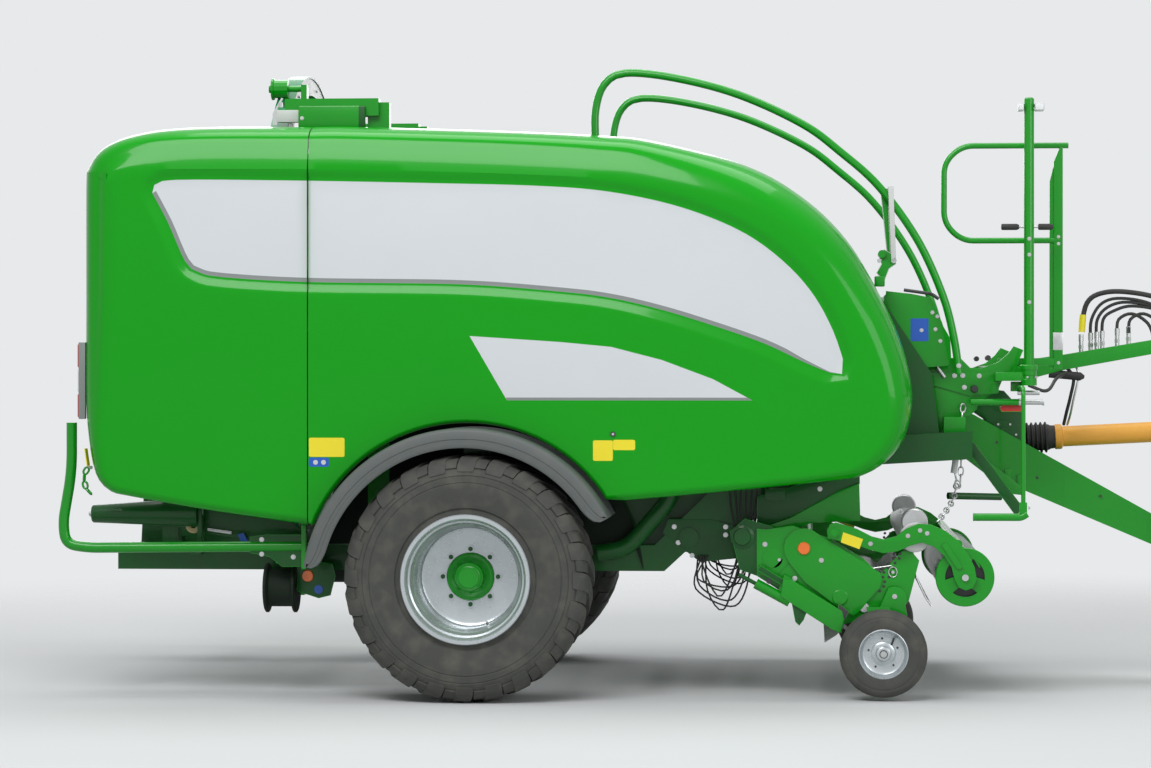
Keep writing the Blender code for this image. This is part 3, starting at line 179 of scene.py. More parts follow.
# ------------------------------------------------------------------ piece makers
def piece(bm, name, look, body, replaces=(), sharp=32):
    """Turns a bmesh written in axle-relative metres into a finished piece on a body."""
    bmesh.ops.remove_doubles(bm, verts=bm.verts, dist=0.00001)
    bmesh.ops.recalc_face_normals(bm, faces=bm.faces)
    bmesh.ops.translate(bm, vec=(AXLE_X, 0.0, 0.0), verts=bm.verts)
    mesh = bpy.data.meshes.new(name)
    bm.to_mesh(mesh)
    bm.free()
    obj = bpy.data.objects.new(name, mesh)
    bpy.context.scene.collection.objects.link(obj)
    for one in look if isinstance(look, (list, tuple)) else [look]:
        mesh.materials.append(one)
    mesh.shade_smooth()
    mesh.set_sharp_from_angle(angle=math.radians(sharp))
    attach(obj, body)
    if replaces:
        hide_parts(*replaces)
    return obj


def add_box(bm, lo, hi, bevel=0.0, mat=0, turn=None):
    lo, hi = [min(a, b) for a, b in zip(lo, hi)], [max(a, b) for a, b in zip(lo, hi)]
    made = bmesh.ops.create_cube(bm, size=1.0)["verts"]
    size = [b - a for a, b in zip(lo, hi)]
    mid = Vector([(a + b) / 2 for a, b in zip(lo, hi)])
    bmesh.ops.scale(bm, vec=size, verts=made)
    if bevel:
        edges = list({e for v in made for e in v.link_edges})
        made = bmesh.ops.bevel(bm, geom=edges, offset=bevel, segments=2, affect="EDGES",
                               profile=0.6)["verts"]
    if turn:
        bmesh.ops.rotate(bm, verts=made, cent=(0, 0, 0), matrix=turn)
    bmesh.ops.translate(bm, vec=mid, verts=made)
    for v in made:
        for f in v.link_faces:
            f.material_index = mat
    return made


def axis_turn(run):
    return Vector((0, 0, 1)).rotation_difference(run.normalized()).to_matrix().to_4x4()


def add_bar(bm, start, end, radius, radius_end=None, sides=24, mat=0):
    a, b = Vector(start), Vector(end)
    made = bmesh.ops.create_cone(
        bm, cap_ends=True, segments=sides, radius1=radius,
        radius2=radius if radius_end is None else radius_end, depth=(b - a).length,
        matrix=Matrix.Translation((a + b) / 2) @ axis_turn(b - a))["verts"]
    for v in made:
        for f in v.link_faces:
            f.material_index = mat
    return made


def add_lathe(bm, profile, centre, axis, sides=64, mat=0, closed=True, mats=None):
    """(radius, along) points turned about an axis."""
    along = Vector(axis).normalized()
    up = Vector((0, 0, 1)) if abs(along.z) < 0.9 else Vector((1, 0, 0))
    side = along.cross(up).normalized()
    up = side.cross(along)
    centre = Vector(centre)
    loops = []
    for k in range(sides):
        angle = 2 * math.pi * k / sides
        out = up * math.cos(angle) + side * math.sin(angle)
        loops.append([bm.verts.new(centre + out * r + along * t) for r, t in profile])
    count = len(profile)
    for k in range(sides):
        here, there = loops[k], loops[(k + 1) % sides]
        for i in range(count if closed else count - 1):
            j = (i + 1) % count
            face = bm.faces.new((here[i], here[j], there[j], there[i]))
            face.material_index = mats[i] if mats else mat


def add_plate(bm, outline, y0, y1, mat=0, bevel=0.0):
    """A flat plate with an outline in X and Z."""
    near = [bm.verts.new((x, y0, z)) for x, z in outline]
    far = [bm.verts.new((x, y1, z)) for x, z in outline]
    faces = [bm.faces.new(near), bm.faces.new(far)]
    for i in range(len(outline)):
        j = (i + 1) % len(outline)
        faces.append(bm.faces.new((near[i], near[j], far[j], far[i])))
    for f in faces:
        f.material_index = mat
    if bevel:
        bmesh.ops.recalc_face_normals(bm, faces=faces)
        edges = [e for f in faces[:2] for e in f.edges]
        bmesh.ops.bevel(bm, geom=edges, offset=bevel, segments=2, affect="EDGES", profile=0.6)


def catmull(points, step, closed=False):
    """A smooth curve through a few key points."""
    keys = [Vector(p) for p in points]
    n = len(keys)
    out = []
    for k in range(n if closed else n - 1):
        if closed:
            a, b, c, d = keys[k - 1], keys[k], keys[(k + 1) % n], keys[(k + 2) % n]
        else:
            a, b, c, d = keys[max(k - 1, 0)], keys[k], keys[k + 1], keys[min(k + 2, n - 1)]
        pieces = max(1, round((c - b).length / step))
        for s in range(pieces):
            t = s / pieces
            out.append(0.5 * (2 * b + (c - a) * t + (2 * a - 5 * b + 4 * c - d) * t * t
                              + (3 * b - a - 3 * c + d) * t ** 3))
    if not closed:
        out.append(keys[-1])
    return out


def add_tube(bm, path, radius, sides=12, mat=0, caps=True):
    """A round bar swept along points without twisting."""
    path = [Vector(p) for p in path]
    tangents = []
    for i in range(len(path)):
        run = path[min(i + 1, len(path) - 1)] - path[max(i - 1, 0)]
        tangents.append(run.normalized())
    ref = Vector((0, 1, 0)) if abs(tangents[0].y) < 0.9 else Vector((0, 0, 1))
    normal = (ref - tangents[0] * ref.dot(tangents[0])).normalized()
    rings = []
    for i, (spot, tangent) in enumerate(zip(path, tangents)):
        normal = (normal - tangent * normal.dot(tangent)).normalized()
        other = tangent.cross(normal)
        size = radius[i] if isinstance(radius, (list, tuple)) else radius
        rings.append([bm.verts.new(spot + (normal * math.cos(2 * math.pi * k / sides)
                                           + other * math.sin(2 * math.pi * k / sides)) * size)
                      for k in range(sides)])
    for a, b in zip(rings, rings[1:]):
        for k in range(sides):
            j = (k + 1) % sides
            bm.faces.new((a[k], a[j], b[j], b[k])).material_index = mat
    if caps:
        bm.faces.new(rings[0]).material_index = mat
        bm.faces.new(rings[-1]).material_index = mat


def bent(points, radius, steps=6):
    """A path with rounded corners."""
    path = [Vector(p) for p in points]
    out = [path[0]]
    for k in range(1, len(path) - 1):
        a, b = path[k - 1] - path[k], path[k + 1] - path[k]
        reach = min(radius, a.length * 0.48, b.length * 0.48)
        first, last = path[k] + a.normalized() * reach, path[k] + b.normalized() * reach
        for s in range(steps + 1):
            t = s / steps
            out.append(first * (1 - t) ** 2 + path[k] * (2 * t * (1 - t)) + last * t ** 2)
    out.append(path[-1])
    return out


def add_bolt(bm, spot, axis, size=0.012, mat=0, washer=True):
    """A hexagon head on a washer."""
    spot, axis = Vector(spot), Vector(axis).normalized()
    if washer:
        add_bar(bm, spot, spot + axis * size * 0.25, size * 1.25, sides=16, mat=mat)
    add_bar(bm, spot, spot + axis * size * 0.85, size * 0.95, size * 0.86, sides=6, mat=mat)


def arc(centre, radius, start, stop, count):
    return [(centre[0] + radius * math.cos(math.radians(start + (stop - start) * k / (count - 1))),
             centre[1] + radius * math.sin(math.radians(start + (stop - start) * k / (count - 1))))
            for k in range(count)]


# ------------------------------------------------------------------ moulded side panels
# rim keys: x, z, width of the rolled border, depth of its edge, strength of the crease
REAR_RIM = [
    (SEAM_X, ROOF_Z, 0.20, 0.30, 1), (-1.28, 2.866, 0.20, 0.30, 1), (-1.52, 2.857, 0.19, 0.29, 1),
    (-1.66, 2.837, 0.17, 0.27, 1), (-1.777, 2.804, 0.15, 0.24, 1), (-1.863, 2.756, 0.13, 0.22, 1),
    (-1.912, 2.700, 0.12, 0.20, 1), (-1.941, 2.64, 0.11, 0.18, 1), (-1.947, 2.56, 0.10, 0.17, 1),
    (-1.946, 2.0, 0.10, 0.16, 0.8), (-1.942, 1.49, 0.10, 0.14, 0.3), (-1.924, 1.295, 0.09, 0.12, 0),
    (-1.899, 1.165, 0.08, 0.10, 0), (-1.865, 1.085, 0.06, 0.08, 0), (-1.80, 1.03, 0.05, 0.06, 0),
    (-1.699, 1.007, 0.045, 0.05, 0), (-1.301, 0.939, 0.045, 0.05, 0),
    (SEAM_X, 0.869, 0.045, 0.05, 0),
]
DOOR_RIM = [
    (SEAM_X, ROOF_Z, 0.20, 0.30, 1), (-0.588, 2.863, 0.20, 0.30, 1), (0.132, 2.839, 0.20, 0.30, 1),
    (0.631, 2.813, 0.20, 0.30, 0.9), (0.894, 2.785, 0.20, 0.30, 0.7), (1.36, 2.661, 0.20, 0.29, 0.2),
    (1.646, 2.501, 0.20, 0.28, 0), (1.871, 2.281, 0.19, 0.27, 0), (2.047, 1.981, 0.17, 0.25, 0),
    (2.135, 1.78, 0.16, 0.24, 0), (2.180, 1.61, 0.15, 0.22, 0), (2.190, 1.46, 0.14, 0.20, 0),
    (2.150, 1.30, 0.12, 0.16, 0), (2.066, 1.192, 0.09, 0.12, 0), (1.948, 1.120, 0.07, 0.09, 0),
    (1.808, 1.094, 0.05, 0.07, 0), (1.30, 1.042, 0.045, 0.05, 0), (0.78, 0.993, 0.045, 0.05, 0),
]
ARCH_R = 0.825
# the silver field, one outline cut by the seam: rear end, top edge, nose, bottom edge
SILVER_TOP = [(-1.575, 2.560), (-1.536, 2.579), (-1.372, 2.586), (-0.801, 2.578), (-0.152, 2.563),
              (0.304, 2.550), (0.645, 2.525), (0.958, 2.466), (1.209, 2.384), (1.411, 2.283),
              (1.585, 2.144), (1.710, 1.996), (1.798, 1.831), (1.846, 1.693)]
SILVER_LOW = [(1.842, 1.618), (1.783, 1.625), (1.647, 1.681), (1.460, 1.769), (1.209, 1.857),
              (0.958, 1.934), (0.707, 1.993), (0.455, 2.025), (-0.039, 2.062), (-0.80, 2.075),
              (-1.228, 2.100), (-1.353, 2.126), (-1.420, 2.180), (-1.507, 2.375), (-1.585, 2.520)]
LOWER_FIELD = [(0.006, 1.806), (0.455, 1.776), (0.707, 1.752), (0.958, 1.687), (1.209, 1.593),
               (1.404, 1.488), (0.192, 1.488)]
RECESS = 0.020
SLOPE = 0.062
STRIPE_W = 0.021


def profile_at(phi, wide, deep, crease):
    """Inset and depth of the border roll, with a soft crease part way down."""
    angle = math.radians(90 * phi)
    plain = (wide * (1 - math.cos(angle)), deep * (1 - math.sin(angle)))
    if crease <= 0:
        return plain
    wide_1, deep_1 = 0.088, 0.034
    if phi < 0.65:
        inner = math.radians(90 * phi / 0.65)
        made = (wide_1 * (1 - math.cos(inner)), deep_1 + (deep - deep_1) * (1 - math.sin(inner)))
    else:
        t = (phi - 0.65) / 0.35
        made = (wide_1 + (wide - wide_1 + 0.03) * t, deep_1 * (1 - t) ** 1.25)
    return tuple(a * (1 - crease) + b * crease for a, b in zip(plain, made))


def offset_line(line, reach):
    """A closed outline moved outward (its points run clockwise)."""
    n = len(line)
    out = []
    for i in range(n):
        run = line[(i + 1) % n] - line[i - 1]
        out.append(line[i] + Vector((-run.y, run.x)).normalized() * reach)
    return out


def inside(spot, poly):
    x, z = spot
    odd = False
    j = len(poly) - 1
    for i in range(len(poly)):
        a, b = poly[i], poly[j]
        if (a[1] > z) != (b[1] > z) and x < (b[0] - a[0]) * (z - a[1]) / (b[1] - a[1]) + a[0]:
            odd = not odd
        j = i
    return odd


def gap_to(spot, line):
    """Distance from a point to a closed outline."""
    best = 9.0
    n = len(line)
    for i in range(n):
        a, b = line[i], line[(i + 1) % n]
        run = b - a
        t = max(0.0, min(1.0, (spot - a).dot(run) / max(run.length_squared, 1e-12)))
        best = min(best, (spot - a - run * t).length)
    return best


SILVER_LINE = catmull(SILVER_TOP, 0.05) + catmull(SILVER_LOW, 0.05)
LOWER_LINE = [Vector(p) for p in LOWER_FIELD]


def stripe_edge():
    """The upper edge of the grey band that follows the field's lower and rear sides."""
    low = catmull(SILVER_LOW, 0.05)
    out = []
    for i in range(len(low)):
        run = low[min(i + 1, len(low) - 1)] - low[max(i - 1, 0)]
        fade = min(1.0, i / 6.0)
        out.append(low[i] + Vector((run.y, -run.x)).normalized() * STRIPE_W * fade)
    return out


STRIPE_LINE = stripe_edge()


def panel_face_depth(spot):
    """How far the face is pressed in at a point: a flat field in a sloped border."""
    if inside(spot, SILVER_LINE):
        return RECESS
    away = gap_to(spot, SILVER_LINE)
    if away >= SLOPE:
        return 0.0
    t = away / SLOPE
    return RECESS * (1 - t * t * (3 - 2 * t))


def build_panel(rim_keys, side, name, node, body, tail=(), steps=12):
    keys = [Vector(k) for k in rim_keys]
    flat = []
    for k in range(len(keys) - 1):
        a, b = keys[max(k - 1, 0)], keys[k]
        c, d = keys[k + 1], keys[min(k + 2, len(keys) - 1)]
        pieces = max(1, round((Vector(c[:2]) - Vector(b[:2])).length / 0.045))
        for s in range(pieces):
            t = s / pieces
            flat.append(0.5 * (2 * b + (c - a) * t + (2 * a - 5 * b + 4 * c - d) * t * t
                               + (3 * b - a - 3 * c + d) * t ** 3))
    flat.append(keys[-1])
    rim = [tuple(v) for v in flat] + list(tail)
    count = len(rim)
    line = [Vector(p[:2]) for p in rim]
    inward = []
    for i in range(count):
        run = line[min(i + 1, count - 1)] - line[max(i - 1, 0)]
        inward.append(Vector((run.y, -run.x)).normalized())
    top = max(range(count), key=lambda i: line[i].y)
    if inward[top].y > 0:
        inward = [-n for n in inward]
    inward[0] = Vector((0.0, math.copysign(1.0, inward[0].y)))
    inward[-1] = Vector((0.0, math.copysign(1.0, inward[-1].y)))
    bm = bmesh.new()
    outer, inner, last = [], [], []
    for k in range(steps + 1):
        phi = k / steps
        out_loop, in_loop, last = [], [], []
        for i in range(count):
            wide, deep, crease = rim[i][2], rim[i][3], rim[i][4]
            inset, depth = profile_at(phi, wide, deep, max(0.0, min(1.0, crease)))
            angle = math.radians(90 * phi)
            lean = Vector((math.cos(angle) / wide, math.sin(angle) / deep)).normalized()
            spot = line[i] + inward[i] * inset
            back = line[i] + inward[i] * (wide * (1 - math.cos(angle)) + SKIN * lean.x)
            out_loop.append(bm.verts.new((spot.x, side * (BODY_Y - depth), spot.y)))
            depth_back = deep * (1 - math.sin(angle)) + SKIN * lean.y
            in_loop.append(bm.verts.new((back.x, side * (BODY_Y - depth_back), back.y)))
            last.append(spot)
        outer.append(out_loop)
        inner.append(in_loop)
    for loops, mat in ((outer, 0), (inner, 3)):
        for k in range(steps):
            for i in range(count - 1):
                bm.faces.new((loops[k][i], loops[k][i + 1], loops[k + 1][i + 1],
                              loops[k + 1][i])).material_index = mat
    bm.faces.new(inner[steps]).material_index = 3
    for i in range(count - 1):
        bm.faces.new((outer[0][i], outer[0][i + 1], inner[0][i + 1], inner[0][i]))
    seam = [loop[0] for loop in outer] + [loop[-1] for loop in reversed(outer)]
    seam += [loop[-1] for loop in inner] + [loop[0] for loop in reversed(inner)]
    bm.faces.new(seam)
    # the face inside the roll: outlines kept as edges, a grid of points between them
    border = [p.copy() for p in last]
    points = list(border)
    edges = [(i, (i + 1) % count) for i in range(count)]

    def keep(poly, close=True):
        """Adds an outline's points and edges, clipped to the border."""
        row = []
        for p in poly:
            row.append(p if inside(p, border) and gap_to(p, border) > 0.004 else None)
        n = len(row)
        for i in range(n if close else n - 1):
            a, b = row[i], row[(i + 1) % n]
            pa, pb = poly[i], poly[(i + 1) % n]
            if a is None and b is None:
                continue
            if a is None or b is None:
                seam_x = border[0].x
                if (pa.x - seam_x) * (pb.x - seam_x) < 0:
                    t = (seam_x - pa.x) / (pb.x - pa.x)
                    cross = pa.lerp(pb, t)
                    if a is None:
                        a = cross
                    else:
                        b = cross
                else:
                    continue
            points.extend((a.copy(), b.copy()))
            edges.append((len(points) - 2, len(points) - 1))

    keep(SILVER_LINE)
    for share in (0.2, 0.4, 0.6, 0.8, 1.0, 1.25):
        keep(offset_line(SILVER_LINE, SLOPE * share))
    keep(STRIPE_LINE, close=False)
    keep(LOWER_LINE)
    keep([Vector((0.186, 1.502)), Vector((1.386, 1.502))], close=False)
    low_x, high_x = min(p.x for p in border), max(p.x for p in border)
    low_z, high_z = min(p.y for p in border), max(p.y for p in border)
    spacing = 0.055
    for a in range(int((high_x - low_x) / spacing)):
        for b in range(int((high_z - low_z) / spacing)):
            spot = Vector((low_x + (a + 0.5) * spacing, low_z + (b + 0.5) * spacing))
            if not inside(spot, border) or gap_to(spot, border) < 0.025:
                continue
            edge_gap = gap_to(spot, SILVER_LINE)
            if edge_gap < 0.02 or (not inside(spot, SILVER_LINE) and edge_gap < SLOPE * 1.4):
                continue
            points.append(spot)
    made, _, faces, _, _, _ = delaunay_2d_cdt(points, edges, [], 0, 0.0004)
    verts = [bm.verts.new((p.x, side * (BODY_Y - panel_face_depth(Vector(p))), p.y)) for p in made]
    band = STRIPE_LINE + list(reversed(catmull(SILVER_LOW, 0.05)))
    for face in faces:
        mid = sum((made[i] for i in face), Vector((0.0, 0.0))) / len(face)
        if not inside(mid, border):
            continue
        try:
            tri = bm.faces.new([verts[i] for i in face])
        except ValueError:
            continue
        if inside(mid, band):
            tri.material_index = 2
        elif inside(mid, SILVER_LINE):
            tri.material_index = 1
        elif inside(mid, LOWER_LINE):
            tri.material_index = 2 if mid.y < 1.502 else 1
    loose = [v for v in bm.verts if not v.link_faces]
    bmesh.ops.delete(bm, geom=loose, context="VERTS")
    bmesh.ops.remove_doubles(bm, verts=bm.verts, dist=0.0003)
    return piece(bm, name, [PANEL, SILVER, STRIPE, PANEL_BACK], body, (node,), 50)


for side, word in ((-1, "right"), (1, "left")):
    build_panel(REAR_RIM, side, "rear_panel_skin_" + word, "rear_panel_" + word, "chassis")
    keys = [(k[0] + (DOOR_GAP if i == 0 else 0.0),) + k[1:] for i, k in enumerate(DOOR_RIM)]
    tail = [(x, z, 0.022, 0.035, 0) for x, z in arc(ARCH, ARCH_R, 33, 157.5, 36)]
    tail.append((SEAM_X + DOOR_GAP, 0.873, 0.022, 0.035, 0))
    build_panel(keys, side, "door_skin_" + word, "side_door_" + word, "door_" + word, tail)


# ------------------------------------------------------------------ wheels
def build_wheel(side, word):
    centre = (0.0, side * TYRE_MID, WHEEL_R)
    axis = (0.0, side, 0.0)
    half = HALF
    carcass = []
    outer = [(0.3005, half - 0.030), (0.312, half - 0.022), (0.330, half - 0.030),
             (0.345, half - 0.030), (0.352, half - 0.021), (0.400, half - 0.008),
             (0.445, half), (0.470, half - 0.0005), (0.4745, half - 0.004), (0.479, half - 0.001),
             (0.505, half - 0.003), (0.5085, half - 0.007), (0.5130, half - 0.004),
             (0.535, half - 0.010), (0.560, half - 0.028), (0.572, half - 0.060),
             (0.578, half - 0.110), (0.580, 0.0)]
    carcass = outer + [(r, -t) for r, t in reversed(outer[:-1])]
    carcass += [(0.3005, 0.070 - half), (0.52, 0.06 - half), (0.555, 0.16 - half),
                (0.555, half - 0.16), (0.52, half - 0.06), (0.3005, half - 0.070)]
    bm = bmesh.new()
    add_lathe(bm, carcass, centre, axis, 96)
    hub = Vector(centre)
    lugs = 24
    path = [(0.532, half - 0.004), (0.556, half - 0.012), (0.586, half - 0.030),
            (0.603, half - 0.060), (WHEEL_R, half - 0.105), (WHEEL_R, 0.075), (WHEEL_R, 0.012)]
    short = [(0.552, half - 0.010), (0.578, half - 0.028), (0.594, half - 0.060),
             (0.599, half - 0.110)]
    for face in (1, -1):
        for k in range(lugs * 2):
            big = k % 2 == 0
            rows = path if big else short
            base = 2 * math.pi * (k + (0.5 if face < 0 else 0.0)) / (lugs * 2)
            width = 0.086 if big else 0.058
            rings = []
            for i, (r, t) in enumerate(rows):
                skew = (half - t) / half * 0.17 if big else (half - t) / half * 0.10
                narrow = 1.0 - 0.10 * (i == 0)
                ring = []
                for lift, share in ((0.0, 1.0), (-0.045, 1.22)):
                    for sign in (-1, 1):
                        angle = base + skew * face + sign * width * narrow * share / 2 / r
                        radial = Vector((math.sin(angle), 0.0, math.cos(angle)))
                        drop = lift if t < half - 0.05 else lift * 0.45
                        tuck = 0.0 if lift == 0 else (0.030 if t > half - 0.05 else 0.0)
                        ring.append(bm.verts.new(
                            hub + radial * (r + drop) + Vector((0, side * face * (t - tuck), 0))))
                rings.append(ring)
            for a, b in zip(rings, rings[1:]):
                for i, j in ((0, 1), (1, 3), (3, 2), (2, 0)):
                    bm.faces.new((a[i], a[j], b[j], b[i]))
            for ring in (rings[0], rings[-1]):
                bm.faces.new((ring[0], ring[1], ring[3], ring[2]))
    piece(bm, "tyre_tread_" + word, RUBBER, "wheel_" + word, ("tyre_" + word,), 35)

    lip = half - 0.005
    front = [(RIM_FLANGE, lip), (RIM_FLANGE + 0.004, lip - 0.005), (RIM_FLANGE + 0.001, lip - 0.013),
             (0.2995, lip - 0.017)]
    well = [(0.2995, lip - 0.055), (0.288, lip - 0.075), (0.272, lip - 0.100),
            (0.272, 0.100 - lip), (0.288, 0.075 - lip), (0.2995, 0.055 - lip)]
    back = [(0.2995, 0.017 - lip), (RIM_FLANGE, 0.012 - lip), (RIM_FLANGE, -lip), (0.300, -lip)]
    bore = [(0.286, 0.055 - lip), (0.276, 0.075 - lip), (0.259, 0.105 - lip), (0.259, -0.030),
            (0.235, -0.014), (0.120, -0.012), (0.120, 0.002), (0.228, 0.000), (0.243, 0.008),
            (0.2475, 0.022), (0.250, 0.030), (0.2505, lip - 0.128), (0.262, lip - 0.108),
            (0.2635, lip - 0.100), (0.268, lip - 0.080), (0.2765, lip - 0.068),
            (0.2785, lip - 0.050), (0.287, lip - 0.044), (0.289, lip - 0.016), (0.300, lip)]
    bm = bmesh.new()
    add_lathe(bm, front + well + back + bore, centre, axis, 96)
    for k in range(8):
        angle = 2 * math.pi * k / 8
        spot = hub + Vector((math.sin(angle) * 0.1375, side * 0.0015, math.cos(angle) * 0.1375))
        add_bar(bm, spot, spot + Vector((0, side * 0.006, 0)), 0.019, sides=20)
    valve = hub + Vector((0.09, side * 0.05, -0.232))
    add_tube(bm, [valve, valve + Vector((0.0, side * 0.05, 0.012)),
                  valve + Vector((0.0, side * 0.075, 0.018))], 0.007, 10)
    piece(bm, "rim_dish_" + word, RIM, "wheel_" + word, ("rim_" + word,), 35)

    bm = bmesh.new()
    add_lathe(bm, [(0.0425, -0.125), (0.119, -0.125), (0.119, -0.100), (0.095, -0.090),
                   (0.095, -0.018), (0.1188, -0.018), (0.1188, 0.012), (0.114, 0.017),
                   (0.104, 0.019), (0.092, 0.024), (0.078, 0.040), (0.072, 0.060),
                   (0.070, 0.080), (0.0425, 0.082)], centre, axis, 64)
    add_lathe(bm, [(0.001, 0.070), (0.066, 0.070), (0.066, 0.084), (0.061, 0.090),
                   (0.052, 0.094), (0.050, 0.098), (0.001, 0.0995)], centre, axis, 48)
    for k in range(8):
        angle = 2 * math.pi * k / 8
        spot = hub + Vector((math.sin(angle) * 0.1375, side * 0.007, math.cos(angle) * 0.1375))
        add_bolt(bm, spot, (0, side, 0), 0.0135, mat=1, washer=False)
        add_bar(bm, spot, spot + Vector((0, side * 0.020, 0)), 0.0065, sides=10, mat=1)
    piece(bm, "hub_cap_" + word, [GREEN, CHASSIS], "wheel_" + word,
          ("hub_" + word,), 35)


RIM_FLANGE = 0.317
for side, word in ((-1, "right"), (1, "left")):
    build_wheel(side, word)


# ------------------------------------------------------------------ fenders, rails, rear guides
SIDES = ((-1, "right"), (1, "left"))


def span(side, y0, y1):
    return min(side * y0, side * y1), max(side * y0, side * y1)


def build_fender(side, word):
    bm = bmesh.new()
    loops = []
    for k in range(109):
        turn = 27 + 144.5 * k / 108
        near_end = min(1.0, min(turn - 27, 171.5 - turn) / 9.0)
        lip = 0.705 + 0.050 * (1 - math.sqrt(1 - (1 - near_end) ** 2))
        rows = [(0.8020, 0.8623), (0.8020, 1.400), (0.8012, 1.425), (0.7985, 1.438), (0.793, 1.446),
                (0.785, 1.450), (lip + 0.045, 1.450), (lip + 0.042, 1.4465), (lip + 0.026, 1.4465),
                (lip + 0.023, 1.450), (lip + 0.006, 1.450), (lip, 1.445), (lip, 1.439),
                (lip + 0.006, 1.436), (0.780, 1.436), (0.788, 1.430), (0.7905, 1.415),
                (0.7905, 0.8623)]
        angle = math.radians(turn)
        loops.append([bm.verts.new((ARCH[0] + r * math.cos(angle), side * y,
                                    ARCH[1] + r * math.sin(angle))) for r, y in rows])
    for a, b in zip(loops, loops[1:]):
        for i in range(len(a)):
            j = (i + 1) % len(a)
            bm.faces.new((a[i], a[j], b[j], b[i]))
    bm.faces.new(loops[0])
    bm.faces.new(loops[-1])
    piece(bm, "fender_skin_" + word, PLASTIC, "chassis", ("fender_" + word,), 40)


def build_rail(side, word):
    y = side * 0.775
    path = [(0.596, y, 2.80), (0.596, y, 2.96), (0.640, y, 3.09), (0.746, y, 3.148),
            (1.0, y, 3.122), (1.323, y, 3.035), (1.646, y, 2.885), (1.839, y, 2.742),
            (2.033, y, 2.566), (2.224, y, 2.301), (2.353, y, 2.018), (2.410, y, 1.80),
            (2.436, y, 1.62)]
    bm = bmesh.new()
    add_tube(bm, catmull(path, 0.035), 0.020, 16)
    lo, hi = span(side, 0.755, 0.795)
    add_box(bm, (0.552, lo, 2.7308), (0.648, hi, 2.7430), 0.002)
    add_box(bm, (0.572, lo, 2.743), (0.620, hi, 2.80), 0.006)
    for x in (0.563, 0.637):
        add_bolt(bm, (x, y, 2.743), (0, 0, 1), 0.007, mat=1)
    add_bolt(bm, (2.434, y + side * 0.020, 1.66), (0, side, 0), 0.010, mat=1)
    piece(bm, "rail_bar_" + word, [GREEN, STEEL], "chassis", ("top_rail_" + word,))


def build_guide(side, word):
    y = side * 1.12
    path = [(-2.029, y, 1.373), (-2.029, y, 1.128), (-2.074, y, 0.87), (-2.060, y, 0.76),
            (-1.943, y, 0.742), (-0.856, y, 0.754)]
    bm = bmesh.new()
    add_tube(bm, bent(path, 0.10, 8), 0.0265, 20)
    lo, hi = span(side, 0.8503, 1.13)
    add_box(bm, (-0.99, lo, 0.668), (-0.86, hi, 0.742), 0.004)
    lo, hi = span(side, 1.115, 1.131)
    # the dark chassis green on this bolted plate is painted shade
    add_plate(bm, [(-1.12, 0.800), (-1.04, 0.812), (-0.832, 0.812), (-0.832, 0.652), (-0.955, 0.650),
                   (-1.02, 0.70), (-1.12, 0.72)], lo, hi, mat=3, bevel=0.002)
    lo, hi = span(side, 1.10, 1.145)
    add_box(bm, (-0.858, lo, 0.64), (-0.834, hi, 0.865), 0.003)
    for x, z in ((-1.06, 0.787), (-1.06, 0.714), (-0.90, 0.70)):
        add_bolt(bm, (x, side * 1.131, z), (0, side, 0), 0.010, mat=1)
    lo, hi = span(side, 0.93, 1.0)
    add_box(bm, (-0.885, lo, 0.50), (-0.865, hi, 0.68), 0.002)
    lo, hi = span(side, 1.0, 1.05)
    add_plate(bm, [(-0.90, 0.68), (-0.72, 0.66), (-0.705, 0.60), (-0.73, 0.50), (-0.79, 0.485),
                   (-0.90, 0.52)], *span(side, 1.000, 1.012), mat=3, bevel=0.002)
    add_bar(bm, (-0.845, side * 1.012, 0.598), (-0.845, side * 1.024, 0.598), 0.031, 0.027, 28, 2)
    add_bar(bm, (-0.790, side * 1.012, 0.530), (-0.790, side * 1.016, 0.530), 0.022, sides=24, mat=4)
    # this drum is drawn in the near-black painted-shade material
    add_lathe(bm, [(0.022, -0.080), (0.120, -0.080), (0.125, -0.076), (0.125, -0.066),
                   (0.120, -0.062), (0.098, -0.056), (0.095, -0.050), (0.095, 0.050),
                   (0.098, 0.056), (0.120, 0.062), (0.125, 0.066), (0.125, 0.076),
                   (0.120, 0.080), (0.022, 0.080)], (-0.985, side * 0.965, 0.535), (1, 0, 0), 40,
              mat=5)
    add_bar(bm, (-1.07, side * 0.965, 0.535), (-0.865, side * 0.965, 0.535), 0.022, mat=1)
    add_bolt(bm, (-1.065, side * 0.965, 0.535), (-1, 0, 0), 0.015, mat=1)
    piece(bm, "guide_bar_" + word, [GREEN, STEEL, ORANGE, CHASSIS, BLUE, SHADOW], "chassis",
          ("rear_guide_" + word,))


